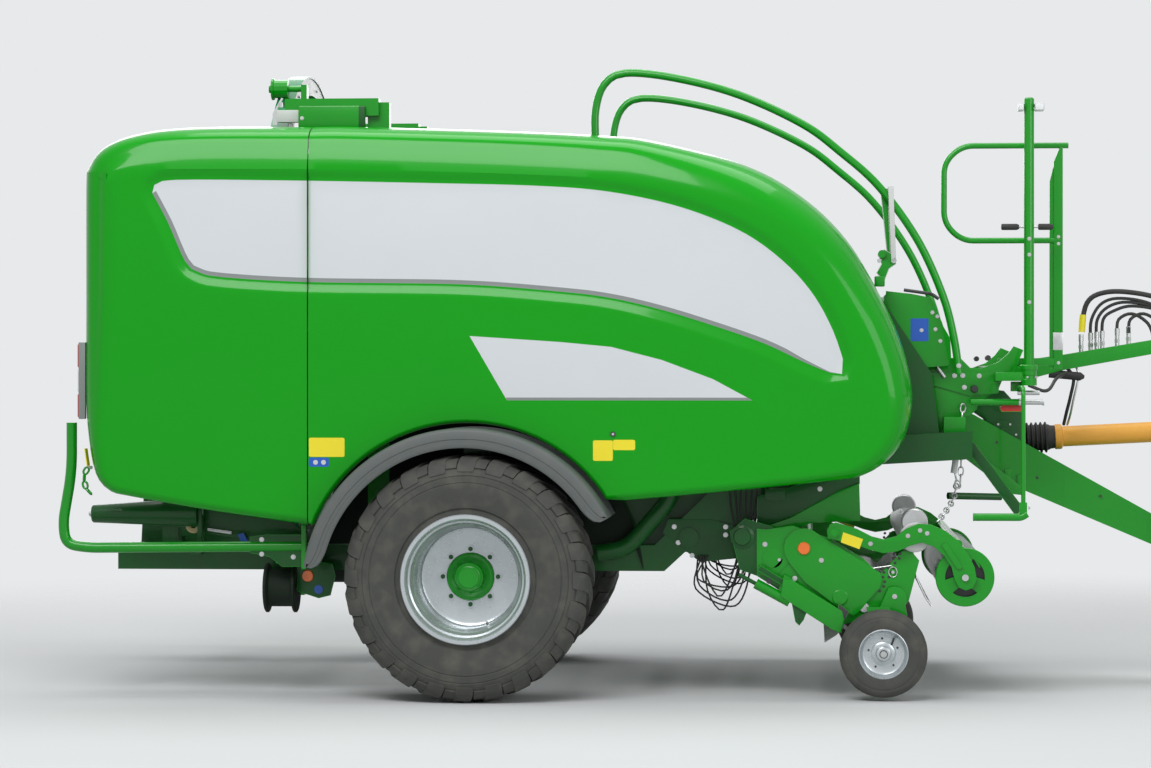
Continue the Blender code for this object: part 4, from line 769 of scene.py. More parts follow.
def build_tail(side, word):
    y = side * 0.93
    bm = bmesh.new()
    run = Vector((0.545, 0, 0.010)).normalized()
    add_lathe(bm, [(0.016, 0.0), (0.040, 0.0), (0.045, 0.006), (0.050, 0.10), (0.0745, 0.535),
                   (0.070, 0.545), (0.016, 0.545)], (-1.965, y, 0.905), run, 40)
    add_bar(bm, (-1.395, y, 0.9155), (-1.978, y, 0.905), 0.015, mat=1)
    lo, hi = span(side, 0.90, 0.96)
    add_box(bm, (-1.42, lo, 0.7153), (-1.397, hi, 0.965), 0.003)
    lo, hi = span(side, 0.8503, 0.97)
    add_box(bm, (-1.45, lo, 0.702), (-1.397, hi, 0.733), 0.003)
    add_bolt(bm, (-1.973, y, 0.905), (-1, 0, 0), 0.012, mat=1)
    piece(bm, "tail_cone_" + word, [CHASSIS, STEEL], "chassis",
          ("tail_roller_" + word,))
    bm = bmesh.new()
    lo, hi = span(side, 1.17, 1.20)
    add_box(bm, (-1.978, lo, 1.392), (-1.9418, hi, 1.778), 0.006, mat=1)
    lo, hi = span(side, 1.174, 1.196)
    for low, tall, look in ((1.402, 0.115, 0), (1.527, 0.115, 2), (1.652, 0.115, 0)):
        add_box(bm, (-1.983, lo, low), (-1.970, hi, low + tall), 0.004, mat=look)
    piece(bm, "lamp_row_" + word, [RED, STRIPE, LENS], "chassis",
          ("rear_lamp_" + word,))


for side, word in SIDES:
    build_fender(side, word)
    build_rail(side, word)
    build_guide(side, word)
    build_tail(side, word)


# labels, latches and panel fittings; the plates are blank
def rounded_box(x0, x1, z0, z1, r=0.008, n=4):
    out = []
    for cx, cz, start in ((x1 - r, z1 - r, 90), (x1 - r, z0 + r, 0), (x0 + r, z0 + r, -90),
                          (x0 + r, z1 - r, -180)):
        out += arc((cx, cz), r, start, start - 90, n)
    return out


for side, word in SIDES:
    bm = bmesh.new()
    plate = span(side, 1.2995, 1.3004)
    add_plate(bm, rounded_box(-0.795, -0.617, 1.207, 1.302), *plate, mat=0)
    add_plate(bm, rounded_box(-0.795, -0.695, 1.158, 1.204), *plate, mat=1)
    add_plate(bm, rounded_box(0.618, 0.716, 1.190, 1.291), *plate, mat=0)
    add_plate(bm, rounded_box(0.717, 0.826, 1.243, 1.294), *plate, mat=0)
    for x in (-0.762, -0.722):
        add_bar(bm, (x, side * 1.2995, 1.180), (x, side * 1.3008, 1.180), 0.012, sides=24, mat=2)
    add_bar(bm, (0.717, side * 1.299, 1.322), (0.717, side * 1.306, 1.322), 0.013, sides=24, mat=3)
    add_bar(bm, (0.717, side * 1.306, 1.322), (0.717, side * 1.308, 1.322), 0.007, sides=6, mat=4)
    piece(bm, "door_plates_" + word, [LABEL, BLUE, WHITE, BLACK, STEEL], "door_" + word)

# top guide, board and cover between the rear panel and the door
for side, word in SIDES:
    bm = bmesh.new()
    lo, hi = span(side, 0.902, 0.940)
    add_box(bm, (-0.905, lo, 2.866), (-0.590, hi, 2.978), 0.006)
    add_box(bm, (-0.600, lo, 2.866), (-0.565, hi, 2.975), 0.004, mat=3)
    add_bolt(bm, (-0.885, side * 0.940, 2.915), (0, side, 0), 0.008, mat=1)
    lo, hi = span(side, 0.86, 0.91)
    add_box(bm, (-1.02, lo, 2.898), (-0.905, hi, 2.960), 0.004, mat=2)
    add_plate(bm, [(-1.045, 2.885), (-1.020, 2.885), (-1.020, 2.97), (-0.99, 3.02), (-1.00, 3.025),
                   (-1.045, 2.945)], *span(side, 0.875, 0.885), mat=1)
    add_bar(bm, (-1.000, side * 0.88, 2.975), (-1.000, side * 0.88, 3.000), 0.016, sides=20, mat=1)
    piece(bm, "top_cover_" + word, [GREEN, STEEL, WHITE, CHASSIS], "chassis")


# ------------------------------------------------------------------ front end
bm = bmesh.new()
cheek = [(2.22, 1.665), (2.30, 1.325), (2.43, 1.325), (2.455, 1.395), (2.505, 1.410),
         (2.535, 1.440), (2.545, 1.480), (2.585, 1.500), (2.640, 1.530), (2.660, 1.580),
         (2.700, 1.600), (2.735, 1.660), (2.770, 1.740), (2.720, 1.760), (2.690, 1.720),
         (2.640, 1.678), (2.560, 1.648), (2.500, 1.650), (2.450, 1.700), (2.405, 1.700)]
for side, word in SIDES:
    add_plate(bm, cheek, *span(side, 0.58, 0.605), bevel=0.003)
    add_plate(bm, [(2.24, 1.625), (2.64, 1.625), (2.652, 1.590), (2.642, 1.520), (2.50, 1.505),
                   (2.33, 1.555), (2.24, 1.565)], *span(side, 0.606, 0.616), bevel=0.002)
    for x, z in ((2.420, 1.610), (2.462, 1.610), (2.545, 1.608), (2.470, 1.550)):
        add_bolt(bm, (x, side * 0.616, z), (0, side, 0), 0.010, mat=1)
    add_bar(bm, (2.520, side * 0.616, 1.542), (2.520, side * 0.655, 1.542), 0.020, 0.015, 20, 2)
    add_bar(bm, (2.590, side * 0.55, 1.700), (2.590, side * 0.625, 1.700), 0.014, sides=20, mat=2)
    add_tube(bm, bent([(2.31, side * 0.62, 1.70), (2.34, side * 0.62, 1.64),
                       (2.37, side * 0.62, 1.60)], 0.02), 0.010, 12, 1)
add_box(bm, (2.37, -0.60, 1.3203), (2.46, 0.60, 1.40), 0.004)
add_box(bm, (2.60, -0.60, 1.61), (2.66, 0.60, 1.66), 0.004)
add_box(bm, (2.36, -0.745, 1.3203), (2.47, -0.58, 1.40), 0.004)
add_bar(bm, (2.50, -0.66, 1.475), (2.76, -0.66, 1.475), 0.0165, sides=24)
add_bar(bm, (2.755, -0.66, 1.475), (2.866, -0.66, 1.475), 0.013, sides=24, mat=1)
add_bar(bm, (2.862, -0.66, 1.475), (2.870, -0.66, 1.475), 0.017, sides=24, mat=1)
add_bar(bm, (2.742, -0.66, 1.475), (2.760, -0.66, 1.475), 0.019, sides=24, mat=1)
add_plate(bm, [(2.645, 1.446), (2.660, 1.462), (2.760, 1.462), (2.760, 1.425), (2.655, 1.425)],
          -0.64, -0.61, mat=3, bevel=0.003)
x, y = 2.788, -0.75
add_lathe(bm, [(0.0275, 1.560), (0.040, 1.560), (0.040, 1.590), (0.037, 1.594), (0.037, 1.610),
               (0.040, 1.614), (0.040, 1.640), (0.0275, 1.640)], (x, y, 0), (0, 0, 1), 40)
add_box(bm, (2.62, y - 0.02, 1.583), (x - 0.03, -0.59, 1.627), 0.004)
for k in range(6):
    turn = 2 * math.pi * k / 6 + 0.3
    spot = Vector((x + 0.039 * math.cos(turn), y + 0.039 * math.sin(turn), 1.602))
    add_bolt(bm, spot, (math.cos(turn), math.sin(turn), 0), 0.007, mat=1, washer=False)
add_bar(bm, (x - 0.055, y + 0.03, 1.523), (x + 0.055, y + 0.03, 1.523), 0.012, sides=20, mat=1)
add_tube(bm, bent([(2.80, -0.55, 1.56), (2.90, -0.50, 1.52), (2.95, -0.42, 1.60),
                   (3.00, -0.36, 1.62)], 0.05), 0.009, 10, 2)
piece(bm, "front_bracket", [GREEN, STEEL, BLACK, RED], "chassis",
      ("front_frame",))

bm = bmesh.new()
for side, word in SIDES:
    add_plate(bm, [(2.06, 1.70), (2.13, 1.640), (2.385, 1.660), (2.400, 1.70), (2.395, 1.80),
                   (2.36, 1.86), (2.33, 1.94), (2.30, 2.005), (2.20, 2.025), (2.07, 2.040)],
              *span(side, 0.684, 0.700), bevel=0.002)
    for px, pz in ((2.305, 1.93), (2.33, 1.91), (2.32, 1.845), (2.345, 1.785), (2.25, 1.84)):
        add_bolt(bm, (px, side * 0.700, pz), (0, side, 0), 0.008, mat=1)
    add_plate(bm, rounded_box(2.195, 2.285, 1.785, 1.90, 0.004), *span(side, 0.7002, 0.7016),
              mat=2)
    add_tube(bm, bent([(2.16, side * 0.705, 2.045), (2.30, side * 0.705, 2.025),
                       (2.335, side * 0.69, 2.00)], 0.02), 0.009, 10, 3)
add_box(bm, (2.07, -0.685, 1.667), (2.39, 0.685, 1.684), 0.002)
add_box(bm, (2.072, -0.685, 1.68), (2.088, 0.685, 2.028), 0.002)
add_box(bm, (2.372, -0.685, 1.68), (2.388, 0.685, 1.80), 0.002)
add_lathe(bm, [(0.030, -0.684), (0.112, -0.684), (0.110, -0.60), (0.110, 0.60), (0.112, 0.684),
               (0.030, 0.684)], (2.25, 0, 1.84), (0, 1, 0), 48, mat=4)
piece(bm, "net_box_body", [GREEN, STEEL, BLUE, BLACK, FILM], "chassis",
      ("net_roll_box",))

# board on its arm beside the upper rails
bm = bmesh.new()
y = -0.72
add_plate(bm, [(2.078, 2.565), (2.105, 2.567), (2.118, 2.205), (2.094, 2.195)], y - 0.09, y + 0.09,
          mat=0, bevel=0.004)
add_plate(bm, [(2.040, 2.560), (2.080, 2.560), (2.092, 2.215), (2.075, 2.215)], y - 0.015, y + 0.015,
          mat=1, bevel=0.003)
add_plate(bm, [(2.030, 2.235), (2.060, 2.250), (2.118, 2.215), (2.120, 2.175), (2.085, 2.15),
               (2.060, 2.085), (2.020, 2.130), (2.045, 2.175)], y - 0.045, y - 0.030, mat=1,
          bevel=0.003)
add_bar(bm, (2.048, y - 0.06, 2.225), (2.048, y + 0.02, 2.225), 0.020, sides=24, mat=1)
add_bar(bm, (2.108, y - 0.06, 2.192), (2.108, y + 0.02, 2.192), 0.014, sides=24, mat=2)
add_bar(bm, (2.035, y - 0.052, 2.192), (2.035, y - 0.030, 2.192), 0.012, sides=6, mat=2)
add_box(bm, (2.010, -0.90, 2.060), (2.060, y - 0.03, 2.110), 0.004, mat=1)
piece(bm, "side_board", [WHITE, GREEN, STEEL], "chassis")

# mast, lamps, hand rails, step
bm = bmesh.new()
x, y = 2.788, -0.75
add_bar(bm, (x, y, 1.575), (x, y, 3.006), 0.0255, sides=40)
add_bar(bm, (x, y, 3.006), (x, y, 3.013), 0.0255, 0.020, 40)
add_lathe(bm, [(0.024, 1.6403), (0.045, 1.6403), (0.045, 1.660), (0.041, 1.665), (0.024, 1.665)],
          (x, y, 0), (0, 0, 1), 40)
add_bar(bm, (x - 0.14, y, 2.361), (x + 0.12, y, 2.361), 0.006, sides=16, mat=1)
for lo, hi in ((-0.140, -0.050), (0.045, 0.120)):
    add_lathe(bm, [(0.001, lo), (0.013, lo + 0.001), (0.016, lo + 0.006), (0.016, hi - 0.012),
                   (0.011, hi), (0.001, hi)], (x, y, 2.361), (1, 0, 0), 20, mat=2)
for k, z in enumerate((2.30, 2.22, 1.98)):
    add_bolt(bm, (x, y - 0.0245, z), (0, -1, 0), 0.008, mat=1)
piece(bm, "mast_tube", [GREEN, STEEL, BLACK_RUBBER], "mast", ("mast_post",))
bm = bmesh.new()
add_box(bm, (x - 0.050, y + 0.0268, 2.968), (x + 0.070, y + 0.038, 2.983), 0.002, mat=1)
for lo, hi in ((-0.056, -0.0275), (0.0275, 0.074)):
    add_box(bm, (x + lo, y - 0.044, 2.946), (x + hi, y + 0.044, 2.984), 0.006, mat=0)
    add_box(bm, (x + lo + 0.004, y - 0.0455, 2.950), (x + hi - 0.004, y - 0.040, 2.980), 0.003,
            mat=2)
piece(bm, "mast_light_heads", [WHITE, BLACK, LENS], "mast", ("mast_lamps",))

bm = bmesh.new()
y = -0.55
add_tube(bm, bent([(2.960, y, 2.30), (2.46, y, 2.30), (2.369, y, 2.39), (2.369, y, 2.70),
                   (2.46, y, 2.785), (3.00, y, 2.785)], 0.11, 8), 0.015, 16)
add_plate(bm, [(2.925, 1.645), (2.972, 1.645), (2.972, 2.775), (2.960, 2.785), (2.925, 2.70)],
          y - 0.012, y + 0.012, bevel=0.003)
add_plate(bm, [(2.905, 1.645), (2.925, 1.645), (2.925, 2.68), (2.905, 2.60)], y - 0.004, y + 0.010,
          bevel=0.001)
add_box(bm, (2.64, y - 0.011, 1.6603), (2.970, y + 0.011, 1.699), 0.003)
add_box(bm, (2.922, y - 0.0125, 1.74), (2.973, y + 0.0125, 1.83), 0.002, mat=1)
for z in (2.318, 2.283, 1.675):
    add_bolt(bm, (2.950, y - 0.012, z), (0, -1, 0), 0.007, mat=1)
piece(bm, "handrail_bars", [GREEN, STEEL], "chassis", ("handrail_loop",))

bm = bmesh.new()
y = -1.16
add_tube(bm, bent([(2.734, y, 0.915), (2.734, y, 1.55), (2.734, -0.68, 1.55)], 0.05), 0.011, 14)
add_tube(bm, bent([(2.490, y, 0.912), (2.725, y, 0.912), (2.752, y, 0.93)], 0.02), 0.019, 18)
add_bar(bm, (2.488, y, 0.912), (2.494, y, 0.912), 0.0195, sides=18)
add_box(bm, (2.715, y - 0.016, 0.925), (2.752, y + 0.016, 0.985), 0.003)
add_bolt(bm, (2.760, y, 0.960), (1, 0, 0), 0.009, mat=1)
add_box(bm, (2.70, -0.70, 1.53), (2.765, -0.6753, 1.5797), 0.003)
piece(bm, "step_bar", [GREEN, STEEL], "chassis", ("side_step",))

# hose arm with its hose ends and couplings
bm = bmesh.new()
add_plate(bm, [(2.76, 1.602), (2.80, 1.587), (3.003, 1.640), (3.75, 1.775), (3.75, 1.845),
               (3.003, 1.720), (2.72, 1.680), (2.6603, 1.662), (2.6603, 1.618)], -0.335, -0.275,
          bevel=0.005)
for k, at in enumerate((3.085, 3.135, 3.165, 3.195, 3.27, 3.33)):
    z = 1.724 + (at - 3.003) * 0.167
    yy = -0.305 + 0.018 * (k % 2)
    add_bar(bm, (at, yy, z - 0.01), (at, yy, z + 0.055), 0.011, sides=16, mat=1)
    add_bar(bm, (at, yy, z + 0.012), (at, yy, z + 0.030), 0.015, sides=6, mat=1)
    add_bar(bm, (at, yy, z + 0.05), (at, yy, z + 0.085), 0.0125, sides=16, mat=1)
add_bar(bm, (3.088, -0.305, 1.835), (3.095, -0.305, 1.925), 0.017, sides=20, mat=3)
add_tube(bm, catmull([(3.092, -0.305, 1.90), (3.115, -0.305, 1.985), (3.17, -0.305, 2.03),
                      (3.28, -0.305, 2.045), (3.45, -0.305, 2.02), (3.60, -0.305, 1.96),
                      (3.70, -0.305, 1.88), (3.735, -0.305, 1.83)], 0.02), 0.013, 12, 2)
for k, at in enumerate((3.135, 3.165, 3.195)):
    add_tube(bm, catmull([(at, -0.287, 1.80), (at + 0.005, -0.287, 1.90),
                          (at + 0.06, -0.280, 1.985 - 0.02 * k), (at + 0.16, -0.280, 2.01 - 0.02 * k),
                          (at + 0.32, -0.29, 1.975 - 0.02 * k), (at + 0.44, -0.30, 1.86 - 0.02 * k)],
                         0.02), 0.0085, 10, 2)
for k, at in enumerate((3.27, 3.33)):
    add_tube(bm, catmull([(at, -0.30, 1.83), (at + 0.01, -0.28, 1.90), (at + 0.08, -0.27, 1.93),
                          (at + 0.16, -0.28, 1.88), (at + 0.19, -0.30, 1.80)], 0.02), 0.0085, 10, 2)
add_tube(bm, catmull([(3.00, -0.31, 1.66), (3.045, -0.32, 1.60), (3.03, -0.31, 1.50),
                      (3.015, -0.25, 1.42), (3.012, -0.10, 1.355)], 0.02), 0.009, 10, 2)
add_tube(bm, catmull([(3.06, -0.31, 1.655), (3.07, -0.32, 1.60), (3.045, -0.31, 1.48),
                      (3.035, -0.22, 1.40), (3.03, -0.10, 1.352)], 0.02), 0.006, 8, 1)
add_tube(bm, [(2.92, -0.31, 1.62), (3.08, -0.33, 1.605), (3.10, -0.33, 1.603)], [0.022, 0.022, 0.008],
         14, 2)
piece(bm, "hose_arm_set", [GREEN, STEEL, BLACK_RUBBER, LABEL], "chassis",
      ("hose_arm",))

# drive shaft
start = Vector((2.8218, 0.0, 1.279))
lean = math.radians(2.9)
along = Vector((math.cos(lean), 0.0, math.sin(lean)))
bm = bmesh.new()
rings = [(0.030, 0.0), (0.074, 0.001)]
for k in range(5):
    at = 0.004 + 0.024 * k
    rings += [(0.0815, at), (0.0815, at + 0.006), (0.068, at + 0.011), (0.068, at + 0.017)]
rings += [(0.062, 0.128), (0.060, 0.149), (0.030, 0.150)]
add_lathe(bm, rings, start, along, 40)
add_bar(bm, start + along * 0.10, start + along * 0.149, 0.045, sides=32)
piece(bm, "shaft_bellows", BLACK_RUBBER, "chassis", ("pto_boot",))
bm = bmesh.new()
begin = start + along * 0.1503
add_lathe(bm, [(0.030, 0.0), (0.064, 0.0), (0.066, 0.003), (0.066, 0.032), (0.062, 0.037),
               (0.0535, 0.040), (0.0535, 0.560), (0.0500, 0.564), (0.0500, 0.9455), (0.030, 0.9495)],
          begin, along, 56)
piece(bm, "shaft_tube", YELLOW, "chassis", ("pto_guard",))
bm = bmesh.new()
tail = start + along * 1.1003
rings = [(0.040, 0.0), (0.058, 0.0)]
for k in range(4):
    rings += [(0.064 + 0.005 * k, 0.012 + 0.026 * k), (0.060 + 0.005 * k, 0.024 + 0.026 * k)]
rings += [(0.085, 0.126), (0.082, 0.130), (0.070, 0.130), (0.052, 0.05), (0.040, 0.04)]
add_lathe(bm, rings, tail, along, 40)
add_lathe(bm, [(0.017, 0.08), (0.036, 0.08), (0.040, 0.10), (0.040, 0.185), (0.036, 0.20),
               (0.017, 0.20)], tail, along, 32, mat=1)
for turn in (0, 1):
    side = Vector((0, 1, 0)) if turn == 0 else along.cross(Vector((0, 1, 0)))
    add_bar(bm, tail + along * 0.155 - side * 0.041, tail + along * 0.155 + side * 0.041, 0.010,
            sides=16, mat=1)
piece(bm, "shaft_joint", [BLACK_RUBBER, WORN], "chassis", ("pto_yoke",))

# drawbar stiffeners, brace and gearbox
bm = bmesh.new()
for side, word in SIDES:
    add_plate(bm, [(2.49, 1.235), (2.545, 1.215), (2.80, 1.02), (2.785, 0.985), (2.74, 0.99),
                   (2.48, 1.19)], *span(side, 0.162, 0.178), mat=0, bevel=0.003)
    for px, pz in ((2.80, 1.11), (2.87, 1.075), (3.20, 0.98), (2.66, 1.26)):
        add_bar(bm, (px, side * 0.159, pz), (px, side * 0.163, pz), 0.007, sides=12, mat=2)
    add_box(bm, (2.70, min(side * 0.16, side * 0.172), 1.07),
            (2.735, max(side * 0.16, side * 0.172), 1.12), 0.002)
    add_box(bm, (2.765, min(side * 0.16, side * 0.172), 1.02),
            (2.80, max(side * 0.16, side * 0.172), 1.09), 0.002)
add_bar(bm, (2.40, -0.30, 0.985), (2.68, -0.18, 0.975), 0.018, sides=20, mat=1)
add_plate(bm, [(2.498, 1.285), (2.52, 1.265), (2.775, 0.925), (2.72, 0.905), (2.47, 1.245)],
          -0.70, -0.69, mat=1, bevel=0.002)
piece(bm, "drawbar_stiffeners", [GREEN, CHASSIS, BLACK], "chassis")

bm = bmesh.new()
add_plate(bm, [(2.4703, 1.4403), (2.5403, 1.42), (2.60, 1.38), (2.60, 1.125), (2.80, 1.125),
               (2.80, 1.42), (2.70, 1.53), (2.4703, 1.56)], -0.12, 0.12, bevel=0.012)
for side, word in SIDES:
    add_lathe(bm, [(0.001, 0.119), (0.075, 0.119), (0.075, 0.128), (0.040, 0.130), (0.038, 0.142),
                   (0.001, 0.142)], (2.70, 0, 1.30), (0, side, 0), 32)
    for k in range(6):
        turn = 2 * math.pi * k / 6
        add_bolt(bm, (2.70 + 0.062 * math.cos(turn), side * 0.128, 1.30 + 0.062 * math.sin(turn)),
                 (0, side, 0), 0.007, mat=1, washer=False)
add_lathe(bm, [(0.001, 2.79), (0.060, 2.79), (0.065, 2.80), (0.065, 2.816), (0.001, 2.8198)],
          (0, 0, 1.279), (1, 0, 0), 32)
piece(bm, "gearbox_case", [CHASSIS, STEEL], "chassis", ("gearbox",))

bm = bmesh.new()
x, y = 3.62, -0.245
add_box(bm, (x - 0.035, y - 0.035, 0.30), (x + 0.035, y + 0.035, 1.10), 0.005)
add_box(bm, (x - 0.026, y - 0.026, 0.012), (x + 0.026, y + 0.026, 0.32), 0.004, mat=1)
add_box(bm, (x - 0.11, y - 0.09, 0.0), (x + 0.11, y + 0.09, 0.014), 0.003)
add_box(bm, (x - 0.05, y + 0.03, 0.70), (x + 0.05, -0.1215, 0.80), 0.004)
add_tube(bm, bent([(x, y, 1.09), (x, y, 1.13), (x, y - 0.14, 1.13), (x, y - 0.14, 1.20)], 0.02),
         0.010, 12, 1)
add_bar(bm, (x, y - 0.14, 1.155), (x, y - 0.14, 1.218), 0.014, sides=16, mat=2)
add_bolt(bm, (x, y - 0.035, 0.75), (0, -1, 0), 0.012, mat=1)
piece(bm, "jack_leg", [BLACK, WORN, BLACK_RUBBER], "chassis", ("parking_jack",))

bm = bmesh.new()
add_box(bm, (4.1203, -0.075, 0.452), (4.15, 0.075, 0.535), 0.003)
add_plate(bm, [(4.145, 0.463), (4.30, 0.463), (4.30, 0.521), (4.145, 0.521)], -0.045, 0.045,
          bevel=0.006)
add_lathe(bm, [(0.026, -0.0245), (0.068, -0.0245), (0.076, -0.016), (0.076, 0.016),
               (0.068, 0.0245), (0.026, 0.0245), (0.0262, 0.0)], (4.352, 0, 0.492), (0, 0, 1), 48)
for yy in (-0.055, 0.055):
    for zz in (0.470, 0.517):
        add_bolt(bm, (4.15, yy, zz), (1, 0, 0), 0.010, mat=1)
piece(bm, "towing_eye", [BLACK, STEEL], "chassis", ("hitch_eye",))


def chain(bm, path, link, wire, mat):
    """Links along a path, every other one turned a quarter."""
    spots = catmull(path, 0.005)
    gone, last, k = 0.0, spots[0], 0
    for a, b in zip(spots, spots[1:]):
        gone += (b - a).length
        if gone < link * 0.74:
            continue
        gone = 0.0
        run = (b - last).normalized()
        flat = Vector((0, 1, 0)).cross(run).normalized()
        out = run.cross(flat) if k % 2 else flat
        mid = (b + last) / 2
        ring = []
        for s in range(12):
            turn = 2 * math.pi * s / 12
            reach = (link / 2 - wire) * math.cos(turn) + math.copysign(link * 0.04, math.cos(turn))
            ring.append(mid + run * reach + out * (link * 0.26 * math.sin(turn)))
        ring.append(ring[0])
        add_tube(bm, ring, wire, 6, mat, caps=False)
        last, k = b, k + 1


bm = bmesh.new()
chain(bm, [(2.463, -0.635, 1.463), (2.452, -0.645, 1.34), (2.452, -0.66, 1.20),
           (2.448, -0.67, 1.075), (2.440, -0.675, 1.040)], 0.050, 0.0042, 0)
chain(bm, [(2.440, -0.675, 1.040), (2.425, -0.69, 1.085), (2.418, -0.70, 1.120)], 0.050, 0.0042, 0)
chain(bm, [(2.428, -0.69, 1.06), (2.405, -0.80, 0.985), (2.360, -0.93, 0.925),
           (2.315, -1.04, 0.880)], 0.050, 0.0042, 0)
add_bar(bm, (2.412, -0.70, 1.115), (2.438, -0.69, 1.285), 0.016, sides=20, mat=1)
add_bar(bm, (2.437, -0.69, 1.283), (2.447, -0.66, 1.345), 0.006, sides=10, mat=0)
piece(bm, "lift_chain", [STEEL, WHITE], "chassis")


# ------------------------------------------------------------------ pickup
bm = bmesh.new()
px, pz = 1.348, 0.805
for side, word in SIDES:
    add_plate(bm, [(1.420, 0.846), (1.47, 0.842), (1.60, 0.862), (1.78, 0.80), (1.95, 0.70),
                   (2.03, 0.62), (2.145, 0.738), (2.19, 0.735), (2.228, 0.69), (2.20, 0.58),
                   (2.176, 0.487), (2.12, 0.42), (2.02, 0.41), (1.80, 0.36), (1.50, 0.56),
                   (1.420, 0.61)], *span(side, 1.030, 1.042), bevel=0.002)
    # the dark chassis green on this pivot plate is painted shade
    add_plate(bm, [(1.285, 0.83), (1.36, 0.895), (1.48, 0.862), (1.60, 0.80), (1.50, 0.58),
                   (1.335, 0.64)], *span(side, 1.012, 1.029), mat=4, bevel=0.002)
    cover = arc((1.655, 0.749), 0.100, 62, 205, 14) + [(1.588, 0.668), (1.661, 0.578),
                                                      (1.858, 0.432), (1.90, 0.415), (1.925, 0.430),
                                                      (2.036, 0.560), (2.045, 0.600), (2.030, 0.632)]
    add_plate(bm, list(reversed(cover)), *span(side, 1.042, 1.060), bevel=0.004)
    add_bar(bm, (1.330, side * 1.065, 0.618), (1.440, side * 1.065, 0.560), 0.010, sides=16, mat=4)
    add_bar(bm, (1.415, side * 1.065, 0.574), (1.585, side * 1.065, 0.482), 0.026, sides=28)
    add_plate(bm, [(1.420, 0.640), (1.555, 0.560), (1.575, 0.585), (1.440, 0.668)],
              *span(side, 1.042, 1.085), mat=4, bevel=0.004)
    add_plate(bm, [(1.552, 0.602), (1.600, 0.592), (1.845, 0.440), (1.855, 0.400), (1.840, 0.330),
                   (1.800, 0.345), (1.540, 0.510)], *span(side, 1.058, 1.0985), bevel=0.005)
    add_plate(bm, [(1.520, 0.520), (1.558, 0.620), (1.600, 0.597), (1.575, 0.500)],
              *span(side, 1.0, 1.07), bevel=0.004)
    add_plate(bm, [(1.825, 0.482), (1.880, 0.440), (1.862, 0.400), (1.815, 0.345), (1.785, 0.350),
                   (1.820, 0.400)], *span(side, 1.062, 1.092), mat=2, bevel=0.003)
    add_lathe(bm, [(0.001, 1.055), (0.040, 1.055), (0.040, 1.062), (0.034, 1.066), (0.001, 1.066)],
              (1.835, 0, 0.505), (0, side, 0), 28)
    add_plate(bm, arc((2.105, 0.500), 0.062, 120, -30, 9) + [(2.168, 0.415), (2.01, 0.405)],
              *span(side, 1.045, 1.068), bevel=0.003)
    add_plate(bm, [(1.965, 0.46), (2.085, 0.46), (2.078, 0.205), (2.018, 0.205)],
              *span(side, 1.047, 1.074), bevel=0.003)
    for k in range(9):
        for dx in (0.0, 0.030):
            spot = (2.001 + dx + 0.0128 * k + 0.008 * (k % 2), 0.537 + 0.0233 * k)
            add_bar(bm, (spot[0], side * 1.0415, spot[1]), (spot[0], side * 1.0425, spot[1]), 0.0075,
                    sides=14, mat=2)
    for turn in range(12):
        a, b = (math.radians(30 * t) for t in (turn, turn + 1))
        add_bar(bm, (2.097 + 0.021 * math.cos(a), side * 1.047, 0.632 + 0.026 * math.sin(a)),
                (2.097 + 0.021 * math.cos(b), side * 1.047, 0.632 + 0.026 * math.sin(b)), 0.0022,
                sides=8, mat=1)
    add_bar(bm, (2.097, side * 1.040, 0.632), (2.097, side * 1.056, 0.632), 0.008, sides=14, mat=1)
    add_bar(bm, (1.655, side * 1.060, 0.749), (1.655, side * 1.070, 0.749), 0.032, 0.028, 32, 3)
    for x, z, depth in ((1.742, 0.690, 1.060), (1.461, 0.768, 1.042), (2.105, 0.512, 1.068),
                        (1.610, 0.600, 1.060), (1.532, 0.691, 1.042)):
        add_bolt(bm, (x, side * depth, z), (0, side, 0), 0.010, mat=1)
    add_bar(bm, (1.469, side * 1.041, 0.700), (1.469, side * 1.0425, 0.700), 0.014, sides=20, mat=2)
    add_bar(bm, (1.482, side * 1.0845, 0.588), (1.482, side * 1.0858, 0.588), 0.015, sides=20, mat=2)
    # the dark chassis green on this pivot disc is painted shade
    add_lathe(bm, [(0.0265, 0.845), (0.055, 0.845), (0.060, 0.850), (0.060, 1.034), (0.044, 1.040),
                   (0.044, 1.046), (0.040, 1.052), (0.001, 1.052), (0.001, 0.885), (0.0265, 0.885)],
              (px, 0, pz), (0, side, 0), 40, mat=4)
    add_bar(bm, (1.804, side * 1.04, 0.831), (1.804, side * 1.113, 0.831), 0.0195, 0.0185, 28)
    add_bar(bm, (1.804, side * 1.042, 0.831), (1.804, side * 1.0702, 0.831), 0.034, sides=32)
    add_bar(bm, (2.048, side * 1.05, 0.235), (2.048, side * 1.204, 0.235), 0.0175, 0.0165, 28, 1)
    add_bar(bm, (2.048, side * 1.05, 0.235), (2.048, side * 1.1185, 0.235), 0.029, sides=32)
    add_bar(bm, (2.048, side * 1.196, 0.235), (2.048, side * 1.2046, 0.235), 0.0155, 0.013, 6, 1)
    add_tube(bm, [(1.995, side * 1.05, 0.65), (2.090, side * 1.054, 0.665)], 0.003, 6, 1)
    add_plate(bm, [(1.595, 0.475), (1.668, 0.430), (1.655, 0.395), (1.632, 0.365), (1.612, 0.385)],
              *span(side, 1.070, 1.082), mat=4, bevel=0.002)
    for z in (0.400, 0.422):
        add_bar(bm, (1.633, side * 1.0815, z), (1.633, side * 1.0825, z), 0.006, sides=12, mat=2)
add_bar(bm, (1.50, -1.045, 0.70), (1.50, 1.045, 0.70), 0.05, sides=32)
add_bar(bm, (1.66, -1.045, 0.80), (1.66, 1.045, 0.80), 0.035, sides=28)
